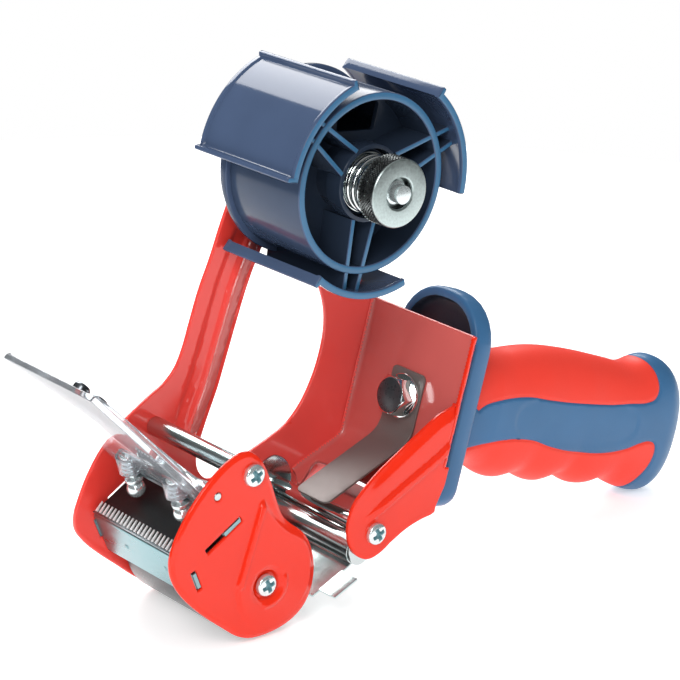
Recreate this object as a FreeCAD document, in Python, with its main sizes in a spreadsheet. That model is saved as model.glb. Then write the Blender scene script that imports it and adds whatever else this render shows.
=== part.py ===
import FreeCAD, Part
import math
import os
import Sketcher
from FreeCAD import Vector, Rotation, Placement

# Hand-held packing tape dispenser.  Lengths in millimetres.
# Working axes: X runs from the cutting head (-) to the grip (+), Y along the
# hub axle (near side -, far side +), Z up.  All profiles below are written
# about the hub axle (X = 0, Z = 0); every sub-part is then placed with the
# same shift, so that the finished origin lies under the middle of the part.

doc = FreeCAD.newDocument("PackingTapeDispenser")
sheet = doc.addObject("Spreadsheet::Sheet", "Dims")
D = {}
ROWS = [
    ("shift_x", -32.07), ("shift_y", -20.35), ("shift_z", 148.25),
    ("far_inner", 46.5), ("sheet_thick", 1.5), ("near_outer", -8.0), ("frame_width", 56.0),
    ("wall_tilt", 14.0), ("wall_x", 37.4), ("wall_z", -87.3), ("mid_plane", 20.0),
    ("screw_clear", 2.15), ("screw_shank", 1.9), ("screw_bore", 1.95), ("screw_head", 3.9),
    ("screw_head_high", 2.3), ("shank_long", 9.0),
    ("tube_radius", 3.3), ("rod_radius", 3.0), ("span", 53.0),
    ("axle_radius", 4.0), ("axle_fit", 0.06), ("roller_radius", 19.45), ("roller_long", 51.0),
    ("roller_core", 8.0), ("roller_start", -5.5),
    ("barrel_radius", 30.6), ("barrel_bore", 28.0), ("barrel_long", 42.0),
    ("wing_radius", 38.0), ("lip_radius", 40.2), ("wing_thick", 2.0), ("wing_start", -4.7), ("wing_long", 49.6),
    ("flange_radius", 32.6), ("flange_wide", 2.4), ("flange_at", 36.2),
    ("boss_radius", 11.2), ("hub_bore", 4.06), ("spindle_radius", 4.0),
    ("rib_thick", 1.7), ("web_thick", 2.0), ("web_at", 15.0),
    ("knob_radius", 11.7), ("knob_face", -14.1), ("knob_long", 8.0), ("knob_recess", 5.3),
    ("cup_radius", 10.4), ("spring_radius", 9.2), ("spring_wire", 0.85),
    ("blade_thick", 0.6), ("blade_pitch", 1.97), ("plate_thick", 1.6), ("holder_thick", 1.1),
    ("flap_thick", 2.0), ("flap_width", 50.0), ("flap_start", -5.0), ("flap_rib", 1.6),
    ("pin_radius", 1.4), ("pin_fit", 0.04),
    ("leaf_width", 17.0), ("leaf_thick", 0.8),
    ("hex_flats", 13.0), ("hex_high", 5.3), ("washer_radius", 8.0), ("washer_thick", 1.6),
    ("bolt_radius", 4.0), ("bolt_hole", 4.2), ("bolt_long", 24.0),
    ("guard_half", 20.6), ("guard_front", 8.0), ("guard_deep", 9.5), ("guard_wall", 3.2),
    ("grip_half", 14.6), ("grip_skin", 2.6),
]
for i, (alias, value) in enumerate(ROWS):
    row = i + 1
    sheet.set("A%d" % row, alias)
    sheet.set("B%d" % row, repr(value))
    sheet.setAlias("B%d" % row, alias)
    D[alias] = value
doc.recompute()

SHIFT = Vector(D["shift_x"], D["shift_y"], D["shift_z"])
TILT = math.radians(D["wall_tilt"])
UX, UZ = math.cos(TILT), -math.sin(TILT)      # grip direction in the XZ plane
VX, VZ = math.sin(TILT), math.cos(TILT)       # up the rear wall
WX, WZ = D["wall_x"], D["wall_z"]
TUBE = (-52.0, -88.2)          # cross tube axis
ROLL = (-45.0, -128.8)         # front roller axis
ROD = (1.8, -121.3)            # rear tie rod axis
HINGE = (-66.0, -92.8)         # flap hinge axis
NODES = []


def uv(u, v):
    """Point of the XZ plane, u along the grip and v up the rear wall."""
    return (WX + u * UX + v * VX, WZ + u * UZ + v * VZ)


# ---------------------------------------------------------------- profiles
def rounded(points):
    """Closed polygon of (a, b) or (a, b, radius) corners as lines and arcs."""
    n = len(points)
    pts = [Vector(p[0], p[1], 0) for p in points]
    rad = [p[2] if len(p) > 2 else 0.0 for p in points]
    ends = []
    for i in range(n):
        p, a, b = pts[i], pts[i - 1], pts[(i + 1) % n]
        r = rad[i]
        if r <= 0:
            ends.append((p, None, p))
            continue
        da = (a - p).normalize()
        db = (b - p).normalize()
        ang = da.getAngle(db)
        cut = r / math.tan(ang / 2.0)
        s = p + da * cut
        e = p + db * cut
        mid = (da + db).normalize()
        c = p + mid * (r / math.sin(ang / 2.0))
        m = c + (p - c).normalize() * r
        ends.append((s, m, e))
    segs = []
    for i in range(n):
        s, m, e = ends[i]
        if m is not None:
            segs.append(Part.Arc(s, m, e))
        nxt = ends[(i + 1) % n][0]
        if (nxt - e).Length > 1e-6:
            segs.append(Part.LineSegment(e, nxt))
    return segs


def smooth(points):
    """One smooth curve through the given points."""
    c = Part.BSplineCurve()
    c.interpolate([Vector(p[0], p[1], 0) for p in points])
    return c


def mixed(parts):
    """Chain of ("S", points) smooth runs and ("L", points) straight runs."""
    segs = []
    for kind, pts in parts:
        if kind == "S":
            segs.append(smooth(pts))
        elif kind == "A":
            segs.append(Part.Arc(*[Vector(p[0], p[1], 0) for p in pts]))
        else:
            for a, b in zip(pts[:-1], pts[1:]):
                segs.append(Part.LineSegment(Vector(a[0], a[1], 0), Vector(b[0], b[1], 0)))
    return segs


def strip(line, thick, side=1.0):
    """Closed outline of a bent strip: rounded line on one face, offset on the other."""
    n = len(line)
    pts = [Vector(p[0], p[1], 0) for p in line]
    rad = [p[2] if len(p) > 2 else 0.0 for p in line]
    norms = []
    for a, b in zip(pts[:-1], pts[1:]):
        d = (b - a).normalize()
        norms.append(Vector(-d.y, d.x, 0) * side)
    off = []
    for i in range(n):
        if i == 0:
            o = pts[0] + norms[0] * thick
        elif i == n - 1:
            o = pts[-1] + norms[-1] * thick
        else:
            m = (norms[i - 1] + norms[i])
            m = m * (thick / (0.5 * m.Length * m.Length))
            o = pts[i] + m
        off.append(o)
    out = []
    for i in range(n):
        out.append((pts[i].x, pts[i].y, rad[i]))
    for i in range(n - 1, -1, -1):
        r = rad[i]
        if 0 < i < n - 1 and r > 0:
            turn = norms[i - 1].cross(norms[i]).z * side
            r = r - thick if turn > 0 else r + thick
            r = max(r, 0.15)
        out.append((off[i].x, off[i].y, r))
    return rounded(out)


# ---------------------------------------------------------------- features
def plane(body, role):
    for f in body.Origin.OriginFeatures:
        if f.Role == role:
            return f
    raise RuntimeError(role)


def bind(obj, prop, expr):
    """A size is a number or a formula over the sheet."""
    if isinstance(expr, str):
        obj.setExpression(prop, expr)
    elif "." not in prop:
        setattr(obj, prop, expr)


def new_body(label, x=0.0, y=0.0, z=0.0, turn=0.0):
    b = doc.addObject("PartDesign::Body", label)
    b.Label = label
    b.Placement = Placement(SHIFT + Vector(x, y, z), Rotation(Vector(0, 1, 0), turn))
    NODES.append(b)
    return b


def side_sketch(body, segs, y0, role="XZ_Plane", extra=None):
    s = body.newObject("Sketcher::SketchObject", body.Label + "_outline")
    s.AttachmentSupport = [(plane(body, role), "")]
    s.MapMode = "FlatFace"
    if extra is not None:
        s.AttachmentOffset = extra
    elif role == "XZ_Plane":
        if isinstance(y0, str):
            s.setExpression("AttachmentOffset.Base.z", "-(%s)" % y0)
        else:
            s.AttachmentOffset = Placement(Vector(0, 0, -y0), Rotation())
    else:
        if isinstance(y0, str):
            s.setExpression("AttachmentOffset.Base.z", y0)
        else:
            s.AttachmentOffset = Placement(Vector(0, 0, y0), Rotation())
    for g in segs:
        s.addGeometry(g, False)
    return s


def circles(sk, places, radius):
    for (cx, cy) in places:
        r0 = radius if not isinstance(radius, str) else 2.0
        k = sk.addGeometry(Part.Circle(Vector(cx, cy, 0), Vector(0, 0, 1), r0), False)
        c = sk.addConstraint(Sketcher.Constraint("Radius", k, r0))
        if isinstance(radius, str):
            sk.setExpression("Constraints[%d]" % c, radius)


def pad(body, segs, y0, length, role="XZ_Plane", extra=None):
    s = side_sketch(body, segs, y0, role, extra)
    p = body.newObject("PartDesign::Pad", body.Label + "_pad")
    p.Profile = s
    bind(p, "Length", length)
    p.Reversed = role == "XZ_Plane" and extra is None
    return p


def cut(body, segs, y0, length, role="XZ_Plane", extra=None, flip=False):
    s = side_sketch(body, segs, y0, role, extra)
    p = body.newObject("PartDesign::Pocket", body.Label + "_cut")
    p.Profile = s
    bind(p, "Length", length)
    p.Reversed = flip
    return p


def discs(body, places, radius, y0, length):
    s = side_sketch(body, [], y0)
    circles(s, places, radius)
    p = body.newObject("PartDesign::Pad", body.Label + "_pad")
    p.Profile = s
    bind(p, "Length", length)
    p.Reversed = True
    return p


def holes(body, places, radius, y0, length):
    s = side_sketch(body, [], y0)
    circles(s, places, radius)
    p = body.newObject("PartDesign::Pocket", body.Label + "_cut")
    p.Profile = s
    bind(p, "Length", length)
    return p


def turned(body, points, role="XZ_Plane"):
    """Turned piece: closed (radius, height) outline about the body's own Z axis."""
    s = side_sketch(body, rounded(points), 0.0, role)
    r = body.newObject("PartDesign::Revolution", body.Label + "_turned")
    r.Profile = s
    r.ReferenceAxis = (s, ["V_Axis"])
    r.Angle = 360
    return r


def feature(label, shape, x=0.0, y=0.0, z=0.0, turn=0.0):
    f = doc.addObject("Part::Feature", label)
    f.Label = label
    f.Shape = shape
    f.Placement = Placement(SHIFT + Vector(x, y, z), Rotation(Vector(0, 1, 0), turn))
    NODES.append(f)
    return f


def round_edges(body, pick, radius):
    """Rounds the edges of the finished body that pick() accepts."""
    doc.recompute()
    shape = body.Shape
    tip = body.Tip
    names = ["Edge%d" % (i + 1) for i, e in enumerate(tip.Shape.Edges) if pick(e)]
    if not names:
        raise RuntimeError("no edge to round on " + body.Label)
    f = body.newObject("PartDesign::Fillet", body.Label + "_round")
    f.Base = (tip, names)
    bind(f, "Radius", radius)
    return f


# ---------------------------------------------------------------- 1 main frame
PI = math.pi
outline = mixed([
    ("S", [(-18.6, -4.6), (-20.4, -9.2), (-23.0, -15.0), (-25.8, -22.0), (-29.6, -32.5), (-34.2, -43.6),
           (-37.8, -54.7), (-40.5, -63.2), (-43.6, -69.6), (-47.6, -73.7), (-52.6, -76.6),
           (-58.0, -79.9), (-63.6, -83.7), (-69.2, -88.4), (-74.3, -93.9), (-78.6, -100.6),
           (-82.0, -107.9), (-84.0, -114.2), (-83.6, -119.2), (-79.6, -124.8), (-73.4, -130.5),
           (-66.2, -136.3), (-59.4, -141.8), (-53.4, -145.6), (-48.0, -146.9), (-41.8, -146.4),
           (-35.6, -145.0), (-30.2, -142.8), (-25.6, -138.8), (-21.0, -135.4), (-12.0, -132.8),
           (-3.4, -131.6), (3.4, -130.2), (12.6, -125.2), (21.6, -121.2), (27.6, -119.9)]),
    ("L", [(27.6, -119.9), uv(1.5, -23.6), uv(1.5, 29.0)]),
    ("S", [uv(1.5, 29.0), (43.4, -51.0), (36.6, -36.0), (28.2, -20.6), (20.6, -8.4), (18.2, -3.2)]),
    ("A", [(18.2, -3.2), (0.0, 18.5), (-18.6, -4.6)]),
])
window = mixed([
    ("S", [(-9.9, -36.6), (-13.8, -45.6), (-17.6, -56.7), (-21.4, -68.4), (-25.2, -80.0), (-28.7, -88.6),
           (-31.6, -96.2), (-33.6, -103.4), (-32.6, -109.0), (-28.6, -112.9), (-23.6, -112.6),
           (-16.0, -109.4), (-8.9, -106.2), (-1.3, -103.2), (6.3, -99.3), (12.2, -93.2), (16.4, -86.0),
           (19.4, -78.4), (21.4, -69.4), (21.5, -62.0), (20.3, -56.0), (17.2, -48.0), (12.4, -37.6),
           (7.2, -28.6), (1.4, -25.0), (-5.0, -28.4), (-9.9, -36.6)]),
])
b = new_body("main_frame")
pad(b, outline + window, "Dims.far_inner", "Dims.sheet_thick")
floor_far = (1.5, 29.0)
wall_top = uv(0.0, 29.0)
bend = uv(0.0, -22.2)
pad(b, strip([wall_top, (bend[0], bend[1], 7.0), (4.6, -119.56)], D["sheet_thick"], 1.0),
    "Dims.near_outer", "Dims.frame_width")
ear = mixed([
    ("L", [(28.6, -117.8), uv(1.5, -17.0), uv(1.5, 5.6)]),
    ("L", [uv(1.5, 5.6), uv(-0.4, 4.9)]),
    ("S", [uv(-0.4, 4.9), (30.0, -84.6), (20.0, -90.1), (11.3, -95.1), (3.0, -100.1), (-3.4, -104.5), (-7.6, -108.4), (-9.8, -113.2),
           (-10.4, -118.4), (-9.0, -124.0), (-5.6, -128.2), (-0.6, -130.5), (4.6, -129.4),
           (10.0, -126.2), (16.6, -123.0), (23.0, -121.2), (27.4, -120.5), (28.6, -117.8)]),
])
pad(b, ear, "Dims.near_outer", "Dims.sheet_thick")
# the floor stops at a cross cut; a pointed tongue stays beside the far plate
cut(b, rounded([(-2.0, -6.5), (18.0, -6.5), (18.0, 39.6), (17.6, 45.2, 1.2), (14.4, 44.2),
                (10.6, 41.6), (5.9, 38.4), (4.8, 39.0), (7.4, 43.6), (9.2, 45.2), (9.2, 48.0), (-2.0, 48.0)]),
    -108.0, 18.0, role="XY_Plane")
holes(b, [TUBE, ROLL, ROD], "Dims.screw_clear", "Dims.far_inner - 1", "Dims.sheet_thick + 2")
holes(b, [HINGE], "Dims.pin_radius + 0.1", "Dims.far_inner - 1", "Dims.sheet_thick + 2")
holes(b, [(0.0, 0.0)], "Dims.spindle_radius + 0.1", "Dims.far_inner - 1", "Dims.sheet_thick + 2")
holes(b, [ROD], "Dims.screw_clear", "Dims.near_outer - 1", "Dims.sheet_thick + 2")
SLOT_A = rounded([(-70.6, -112.3, 0.3), (-69.5, -110.1, 0.3), (-55.6, -101.4, 0.3), (-56.7, -103.6, 0.3)])
t1 = (math.cos(math.radians(32.0)), math.sin(math.radians(32.0)))
n1 = (-t1[1], t1[0])


def along(s, d, origin=(-63.6, -107.2)):
    """Point on the blade bed: s up the slope and d above its sheet."""
    return (origin[0] + s * t1[0] + d * n1[0], origin[1] + s * t1[1] + d * n1[1])


t2 = (0.39, -0.921)
n2 = (-0.921, -0.39)


def front(s, d, origin=(-75.1, -117.2)):
    """Point on the front strip: s down the strip and d out of it."""
    return (origin[0] + s * t2[0] + d * n2[0], origin[1] + s * t2[1] + d * n2[1])


def slot_a():
    return rounded([along(-7.6, 1.05) + (0.3,), along(-7.6, -1.05) + (0.3,),
                    along(8.7, -1.05) + (0.3,), along(8.7, 1.05) + (0.3,)])


def slot_b():
    return rounded([front(-0.4, -1.0) + (0.3,), front(-0.4, 1.0) + (0.3,),
                    front(7.1, 1.0) + (0.3,), front(7.1, -1.0) + (0.3,)])


cut(b, slot_a() + slot_b(), "Dims.far_inner - 1", "Dims.sheet_thick + 2")
# hole for the grip bolt, square to the rear wall
s = side_sketch(b, [], 0, role="YZ_Plane",
                extra=Placement(Vector(D["mid_plane"], WZ, WX), Rotation(Vector(1, 0, 0), D["wall_tilt"])))
circles(s, [(0.0, 0.0)], "Dims.bolt_hole")
p = b.newObject("PartDesign::Pocket", "main_frame_bolt_hole")
p.Profile = s
p.Length = 6.0
p.Midplane = True

# ---------------------------------------------------------------- 2 near cheek
cheek = smooth([(-53.2, -80.2), (-49.2, -83.0), (-46.0, -87.6), (-43.3, -94.0), (-40.9, -100.4), (-38.4, -105.8),
                (-34.9, -109.4), (-30.9, -112.5), (-27.6, -116.2), (-25.4, -121.0), (-24.2, -126.6),
                (-24.3, -132.0), (-25.6, -136.9), (-28.2, -141.0), (-32.6, -144.3), (-38.6, -146.4),
                (-45.2, -147.2), (-51.0, -146.8), (-56.0, -144.8), (-62.4, -140.1), (-69.2, -134.7),
                (-75.2, -129.2), (-80.4, -123.2), (-83.6, -117.0), (-84.3, -111.4), (-82.6, -105.4),
                (-79.6, -99.8), (-75.9, -94.5), (-71.5, -89.5), (-66.6, -85.1), (-61.6, -81.8),
                (-57.2, -80.1), (-53.2, -80.2)])
b = new_body("near_cheek")
pad(b, [cheek], "Dims.near_outer", "Dims.sheet_thick")
cut(b, slot_a() + slot_b(), "Dims.near_outer - 1", "Dims.sheet_thick + 2")
holes(b, [TUBE, ROLL], "Dims.screw_clear", "Dims.near_outer - 1", "Dims.sheet_thick + 2")
holes(b, [HINGE], "Dims.pin_radius + 0.1", "Dims.near_outer - 1", "Dims.sheet_thick + 2")
holes(b, [ROLL], 6.3, "Dims.near_outer - 1", 1.6)

# ---------------------------------------------------------------- 3-6 spacers
b = new_body("cross_tube")
discs(b, [TUBE], "Dims.tube_radius", "Dims.near_outer + Dims.sheet_thick", "Dims.span")
holes(b, [TUBE], "Dims.screw_bore", -10.0, 70.0)
b = new_body("roller_axle")
discs(b, [ROLL], "Dims.axle_radius", "Dims.near_outer + Dims.sheet_thick", "Dims.span")
holes(b, [ROLL], "Dims.screw_bore", -10.0, 14.0)
holes(b, [ROLL], "Dims.screw_bore", 36.0, 14.0)
b = new_body("tie_rod")
discs(b, [ROD], "Dims.rod_radius", "Dims.near_outer + Dims.sheet_thick + 1", "Dims.span - 2")
holes(b, [ROD], "Dims.screw_bore", -10.0, 14.0)
holes(b, [ROD], "Dims.screw_bore", 36.0, 14.0)

# front roller: plastic core with a rubber sleeve
b = new_body("roller_core")
discs(b, [ROLL], "Dims.roller_core", "Dims.roller_start", "Dims.roller_long")
discs(b, [ROLL], "Dims.roller_radius - 2.6", "Dims.roller_start + 0.6", "Dims.roller_long - 1.2")
holes(b, [ROLL], "Dims.axle_radius + Dims.axle_fit", -10.0, 70.0)
b = new_body("roller_sleeve")
discs(b, [ROLL], "Dims.roller_radius", "Dims.roller_start + 0.6", "Dims.roller_long - 1.2")
holes(b, [ROLL], "Dims.roller_radius - 2.6", -10.0, 70.0)
round_edges(b, lambda e: e.BoundBox.YLength < 1e-4 and abs(e.BoundBox.XLength - 2 * D["roller_radius"]) < 0.2, 0.8)

# ---------------------------------------------------------------- 7 frame screws
b = new_body("frame_screws")
near = [TUBE, ROD]
discs(b, near, "Dims.screw_head", "Dims.near_outer - Dims.screw_head_high", "Dims.screw_head_high")
discs(b, near, "Dims.screw_shank", "Dims.near_outer - 0.5", "Dims.shank_long")
discs(b, [ROLL], "Dims.screw_head", "Dims.near_outer + 0.6 - Dims.screw_head_high", "Dims.screw_head_high")
discs(b, [ROLL], "Dims.screw_shank", "Dims.near_outer + 0.3", "Dims.shank_long")
far = [TUBE, ROD, ROLL]
discs(b, far, "Dims.screw_head", "Dims.far_inner + Dims.sheet_thick", "Dims.screw_head_high")
discs(b, far, "Dims.screw_shank", "Dims.far_inner - 6.5", "Dims.shank_long")
round_edges(b, lambda e: e.BoundBox.YLength < 1e-4 and abs(e.BoundBox.XLength - 2 * D["screw_head"]) < 0.05
            and (abs(e.BoundBox.YMin + 10.3) < 0.05 or abs(e.BoundBox.YMin + 9.7) < 0.05 or abs(e.BoundBox.YMin - 50.3) < 0.05), 1.5)


def cross_recess(places, turn=0.0):
    segs = []
    for (cx, cz) in places:
        w, l = 0.55, 2.3
        pts = [(w, l), (w, w), (l, w), (l, -w), (w, -w), (w, -l), (-w, -l), (-w, -w), (-l, -w), (-l, w), (-w, w), (-w, l)]
        c, sn = math.cos(turn), math.sin(turn)
        segs += rounded([(cx + x * c - y * sn, cz + x * sn + y * c) for x, y in pts])
    return segs


cut(b, cross_recess([TUBE, ROD], 0.5), -10.6, 1.8)
cut(b, cross_recess([ROLL], 0.35), -10.0, 1.8)
cut(b, cross_recess(far, 0.2), 48.8, 3.0)

# ---------------------------------------------------------------- 8 guide plate
# formed plate clamped at the ends of the tie rod: two lugs, a rolled bead and a sloping tongue
BEAD = (-3.2, -127.8)
lug_foot = rounded([(-2.4, -131.75), (-2.7, -131.1), (6.3, -126.95), (6.6, -127.6)])
b = new_body("guide_plate")
sl = (0.907, 0.4215)
tongue = [(-22.3, -139.5), (-5.6, -131.75)]
pad(b, strip([tongue[0], (-5.2, -131.55, 4.0), (-4.2, -123.2)], 1.0, -1.0), -4.9, 49.8)
discs(b, [BEAD], 4.85, -4.9, 49.8)
holes(b, [BEAD], 3.7, -10.0, 70.0)
pad(b, rounded([(-3.5, -132.4), (-3.5, -131.4), (22.4, -119.3), (23.0, -120.3)]), -4.9, 49.8)
lug = mixed([("S", [(8.2, -120.4), (7.4, -116.2), (4.8, -112.2), (0.2, -109.9), (-4.6, -111.4), (-7.6, -115.6), (-8.2, -120.4)]),
             ("L", [(-8.2, -120.4), (-8.0, -127.8)]),
             ("A", [(-8.0, -127.8), (-6.4, -131.4), (-2.4, -132.5)]),
             ("L", [(-2.4, -132.5), (7.4, -127.9), (8.2, -120.4)])])
pad(b, lug, -6.5, 1.0)
pad(b, lug, 45.5, 1.0)
pad(b, lug_foot, -5.6, 0.8)
pad(b, lug_foot, 44.8, 0.8)
holes(b, [ROD], "Dims.screw_clear", -10.0, 5.2)
holes(b, [ROD], "Dims.screw_clear", 45.0, 5.0)
# square tab on the near edge of the tongue
tabs = [(-9.6, -133.5), (-19.2, -138.0)]
pad(b, strip([tabs[1], tabs[0]], 1.0, -1.0), -12.9, 8.4)

# ---------------------------------------------------------------- 9 blade holder
b = new_body("blade_holder")
bend_pt = along(-15.3, 0.55)
pad(b, strip([along(8.6, 0.55), bend_pt + (1.2,), front(12.6, 0.55)], D["holder_thick"], 1.0),
    "Dims.near_outer + Dims.sheet_thick + 0.3", "Dims.span - 0.6")
pad(b, rounded([along(0.2, 0.5), along(0.2, -0.5), along(8.2, -0.5), along(8.2, 0.5)]), "Dims.near_outer + 0.1", "Dims.frame_width - 0.2")
pad(b, rounded([front(0.1, -0.5), front(0.1, 0.5), front(6.7, 0.5), front(6.7, -0.5)]), "Dims.near_outer + 0.1", "Dims.frame_width - 0.2")

# ---------------------------------------------------------------- 10 bed plate
b = new_body("tape_bed_plate")
pad(b, rounded([along(-14.4, 0.56), along(8.2, 0.56), along(8.2, 2.16, ), along(-14.4, 2.16)]), -4.9, 49.8)

# ---------------------------------------------------------------- 11 cutting blade
# the serrated strip lies on the bed plate with its teeth up the slope
b = new_body("cutting_blade")
teeth = 25
pts = [(0.4 - 4.9, -15.8), (0.4 - 4.9, -14.4)]
y = -4.5
for k in range(teeth):
    pts.append((y, -14.4))
    pts.append((y + 0.5 * D["blade_pitch"], -10.8))
    y += D["blade_pitch"]
pts.append((y, -14.4))
pts.append((y, -15.8))
clean = [pts[0]]
for q in pts[1:]:
    if abs(q[0] - clean[-1][0]) + abs(q[1] - clean[-1][1]) > 1e-6:
        clean.append(q)
o = along(0.0, 2.18)
blade_off = Placement(Vector(0, 0, 0), Rotation())
s = b.newObject("Sketcher::SketchObject", "cutting_blade_outline")
s.AttachmentSupport = [(plane(b, "XY_Plane"), "")]
s.MapMode = "FlatFace"
for g in rounded([(q[1], q[0]) for q in clean]):
    s.addGeometry(g, False)
p = b.newObject("PartDesign::Pad", "cutting_blade_pad")
p.Profile = s
bind(p, "Length", "Dims.blade_thick")
b.Placement = Placement(SHIFT + Vector(o[0], 0, o[1]), Rotation(Vector(0, 1, 0), -32.0))

# ---------------------------------------------------------------- 12 leaf spring
b = new_body("leaf_spring")
lw = D["leaf_thick"]
pad(b, strip([uv(-0.02, 9.4), uv(-0.02, -14.2) + (9.0,), (-4.2, -116.6)], lw, -1.0), "Dims.mid_plane - Dims.leaf_width / 2", "Dims.leaf_width")
s = side_sketch(b, [], 0, role="YZ_Plane",
                extra=Placement(Vector(D["mid_plane"], WZ, WX), Rotation(Vector(1, 0, 0), D["wall_tilt"])))
circles(s, [(0.0, 0.0)], "Dims.bolt_hole")
p = b.newObject("PartDesign::Pocket", "leaf_spring_hole")
p.Profile = s
p.Length = 8.0
p.Midplane = True

# ---------------------------------------------------------------- 13-15 grip bolt
# turned and hexagonal pieces about the bolt axis; local Z points back along the grip
bolt_at = uv(0.0, 0.0)


def axis_body(label, along_grip):
    b = doc.addObject("PartDesign::Body", label)
    b.Label = label
    px, pz = uv(along_grip, 0.0)
    b.Placement = Placement(SHIFT + Vector(px, D["mid_plane"], pz), Rotation(Vector(0, 1, 0), 90.0 + D["wall_tilt"]))
    NODES.append(b)
    return b


def hexagon(flats):
    r = flats / math.sqrt(3.0)
    return rounded([(r * math.cos(PI / 6 + k * PI / 3), r * math.sin(PI / 6 + k * PI / 3)) for k in range(6)])


b = axis_body("grip_washer", -D["leaf_thick"] - D["washer_thick"] - 0.02)
s = side_sketch(b, [], 0, role="XY_Plane")
circles(s, [(0.0, 0.0)], "Dims.washer_radius")
circles(s, [(0.0, 0.0)], "Dims.bolt_hole")
p = b.newObject("PartDesign::Pad", "grip_washer_pad")
p.Profile = s
bind(p, "Length", "Dims.washer_thick")

b = axis_body("grip_bolt", -D["leaf_thick"] - D["washer_thick"] - D["hex_high"] - 0.02)
s = side_sketch(b, hexagon(D["hex_flats"]), 0, role="XY_Plane")
p = b.newObject("PartDesign::Pad", "grip_bolt_head")
p.Profile = s
bind(p, "Length", "Dims.hex_high")
s = side_sketch(b, [], "Dims.hex_high - 0.5", role="XY_Plane")
circles(s, [(0.0, 0.0)], "Dims.bolt_radius")
p = b.newObject("PartDesign::Pad", "grip_bolt_shank")
p.Profile = s
bind(p, "Length", "Dims.bolt_long + 0.5")
doc.recompute()
p = b.newObject("PartDesign::Chamfer", "grip_bolt_end")
p.Base = (b.Group[-2], ["Edge%d" % (i + 1) for i, e in enumerate(b.Group[-2].Shape.Edges)
                        if abs(e.BoundBox.ZMax - (D["hex_high"] + D["bolt_long"])) < 1e-3 and e.BoundBox.ZLength < 1e-4])
p.Size = 0.8
# the corners of the head are turned off to a round face
g = b.newObject("Sketcher::SketchObject", "grip_bolt_crown")
g.AttachmentSupport = [(plane(b, "XZ_Plane"), "")]
g.MapMode = "FlatFace"
for seg in rounded([(6.0, -0.1), (8.4, -0.1), (8.4, 1.35)]):
    g.addGeometry(seg, False)
p = b.newObject("PartDesign::Groove", "grip_bolt_crown_cut")
p.Profile = g
p.ReferenceAxis = (g, ["V_Axis"])
p.Angle = 360

b = axis_body("grip_nut", 12.0)
s = side_sketch(b, hexagon(D["hex_flats"]), 0, role="XY_Plane")
circles(s, [(0.0, 0.0)], "Dims.bolt_radius + 0.02")
p = b.newObject("PartDesign::Pad", "grip_nut_pad")
p.Profile = s
p.Length = 6.5

# ---------------------------------------------------------------- 16-18 spindle
b = new_body("spindle")
discs(b, [(0.0, 0.0)], "Dims.spindle_radius", -12.0, 68.6)
discs(b, [(0.0, 0.0)], 3.1, -15.9, 4.4)
discs(b, [(0.0, 0.0)], 8.5, "Dims.far_inner - 1.9", 1.88)
b = new_body("spindle_nut")
s = side_sketch(b, hexagon(D["hex_flats"]), "Dims.far_inner + Dims.sheet_thick + 1.6")
circles(s, [(0.0, 0.0)], "Dims.spindle_radius + 0.02")
p = b.newObject("PartDesign::Pad", "spindle_nut_pad")
p.Profile = s
p.Length = 6.5
p.Reversed = True
b = new_body("spindle_washer")
s = side_sketch(b, [], "Dims.far_inner + Dims.sheet_thick")
circles(s, [(0.0, 0.0)], "Dims.washer_radius")
circles(s, [(0.0, 0.0)], "Dims.bolt_hole")
p = b.newObject("PartDesign::Pad", "spindle_washer_pad")
p.Profile = s
bind(p, "Length", "Dims.washer_thick")
p.Reversed = True

# ---------------------------------------------------------------- 19 tape hub
def polar(r, deg):
    a = math.radians(deg)
    return (r * math.cos(a), r * math.sin(a))


def sector(r0, r1, a0, a1):
    am = 0.5 * (a0 + a1)
    return mixed([("A", [polar(r1, a0), polar(r1, am), polar(r1, a1)]),
                  ("L", [polar(r1, a1), polar(r0, a1)]),
                  ("A", [polar(r0, a1), polar(r0, am), polar(r0, a0)]),
                  ("L", [polar(r0, a0), polar(r1, a0)])])


WINGS = (139.0, 19.0, -101.0)
b = new_body("tape_hub")
s = side_sketch(b, [], 0.0)
circles(s, [(0.0, 0.0)], "Dims.barrel_radius")
circles(s, [(0.0, 0.0)], "Dims.barrel_bore")
p = b.newObject("PartDesign::Pad", "tape_hub_barrel")
p.Profile = s
bind(p, "Length", "Dims.barrel_long")
p.Reversed = True
s = side_sketch(b, [], "Dims.flange_at")
circles(s, [(0.0, 0.0)], "Dims.flange_radius")
circles(s, [(0.0, 0.0)], "Dims.barrel_radius - 1")
p = b.newObject("PartDesign::Pad", "tape_hub_flange")
p.Profile = s
bind(p, "Length", "Dims.flange_wide")
p.Reversed = True
s = side_sketch(b, [], "Dims.web_at")
circles(s, [(0.0, 0.0)], "Dims.barrel_bore + 1")
p = b.newObject("PartDesign::Pad", "tape_hub_web")
p.Profile = s
bind(p, "Length", "Dims.web_thick")
p.Reversed = True
discs(b, [(0.0, 0.0)], "Dims.boss_radius", 4.0, 39.0)
discs(b, [(0.0, 0.0)], "Dims.barrel_bore + 1", 39.6, 1.6)
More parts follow.
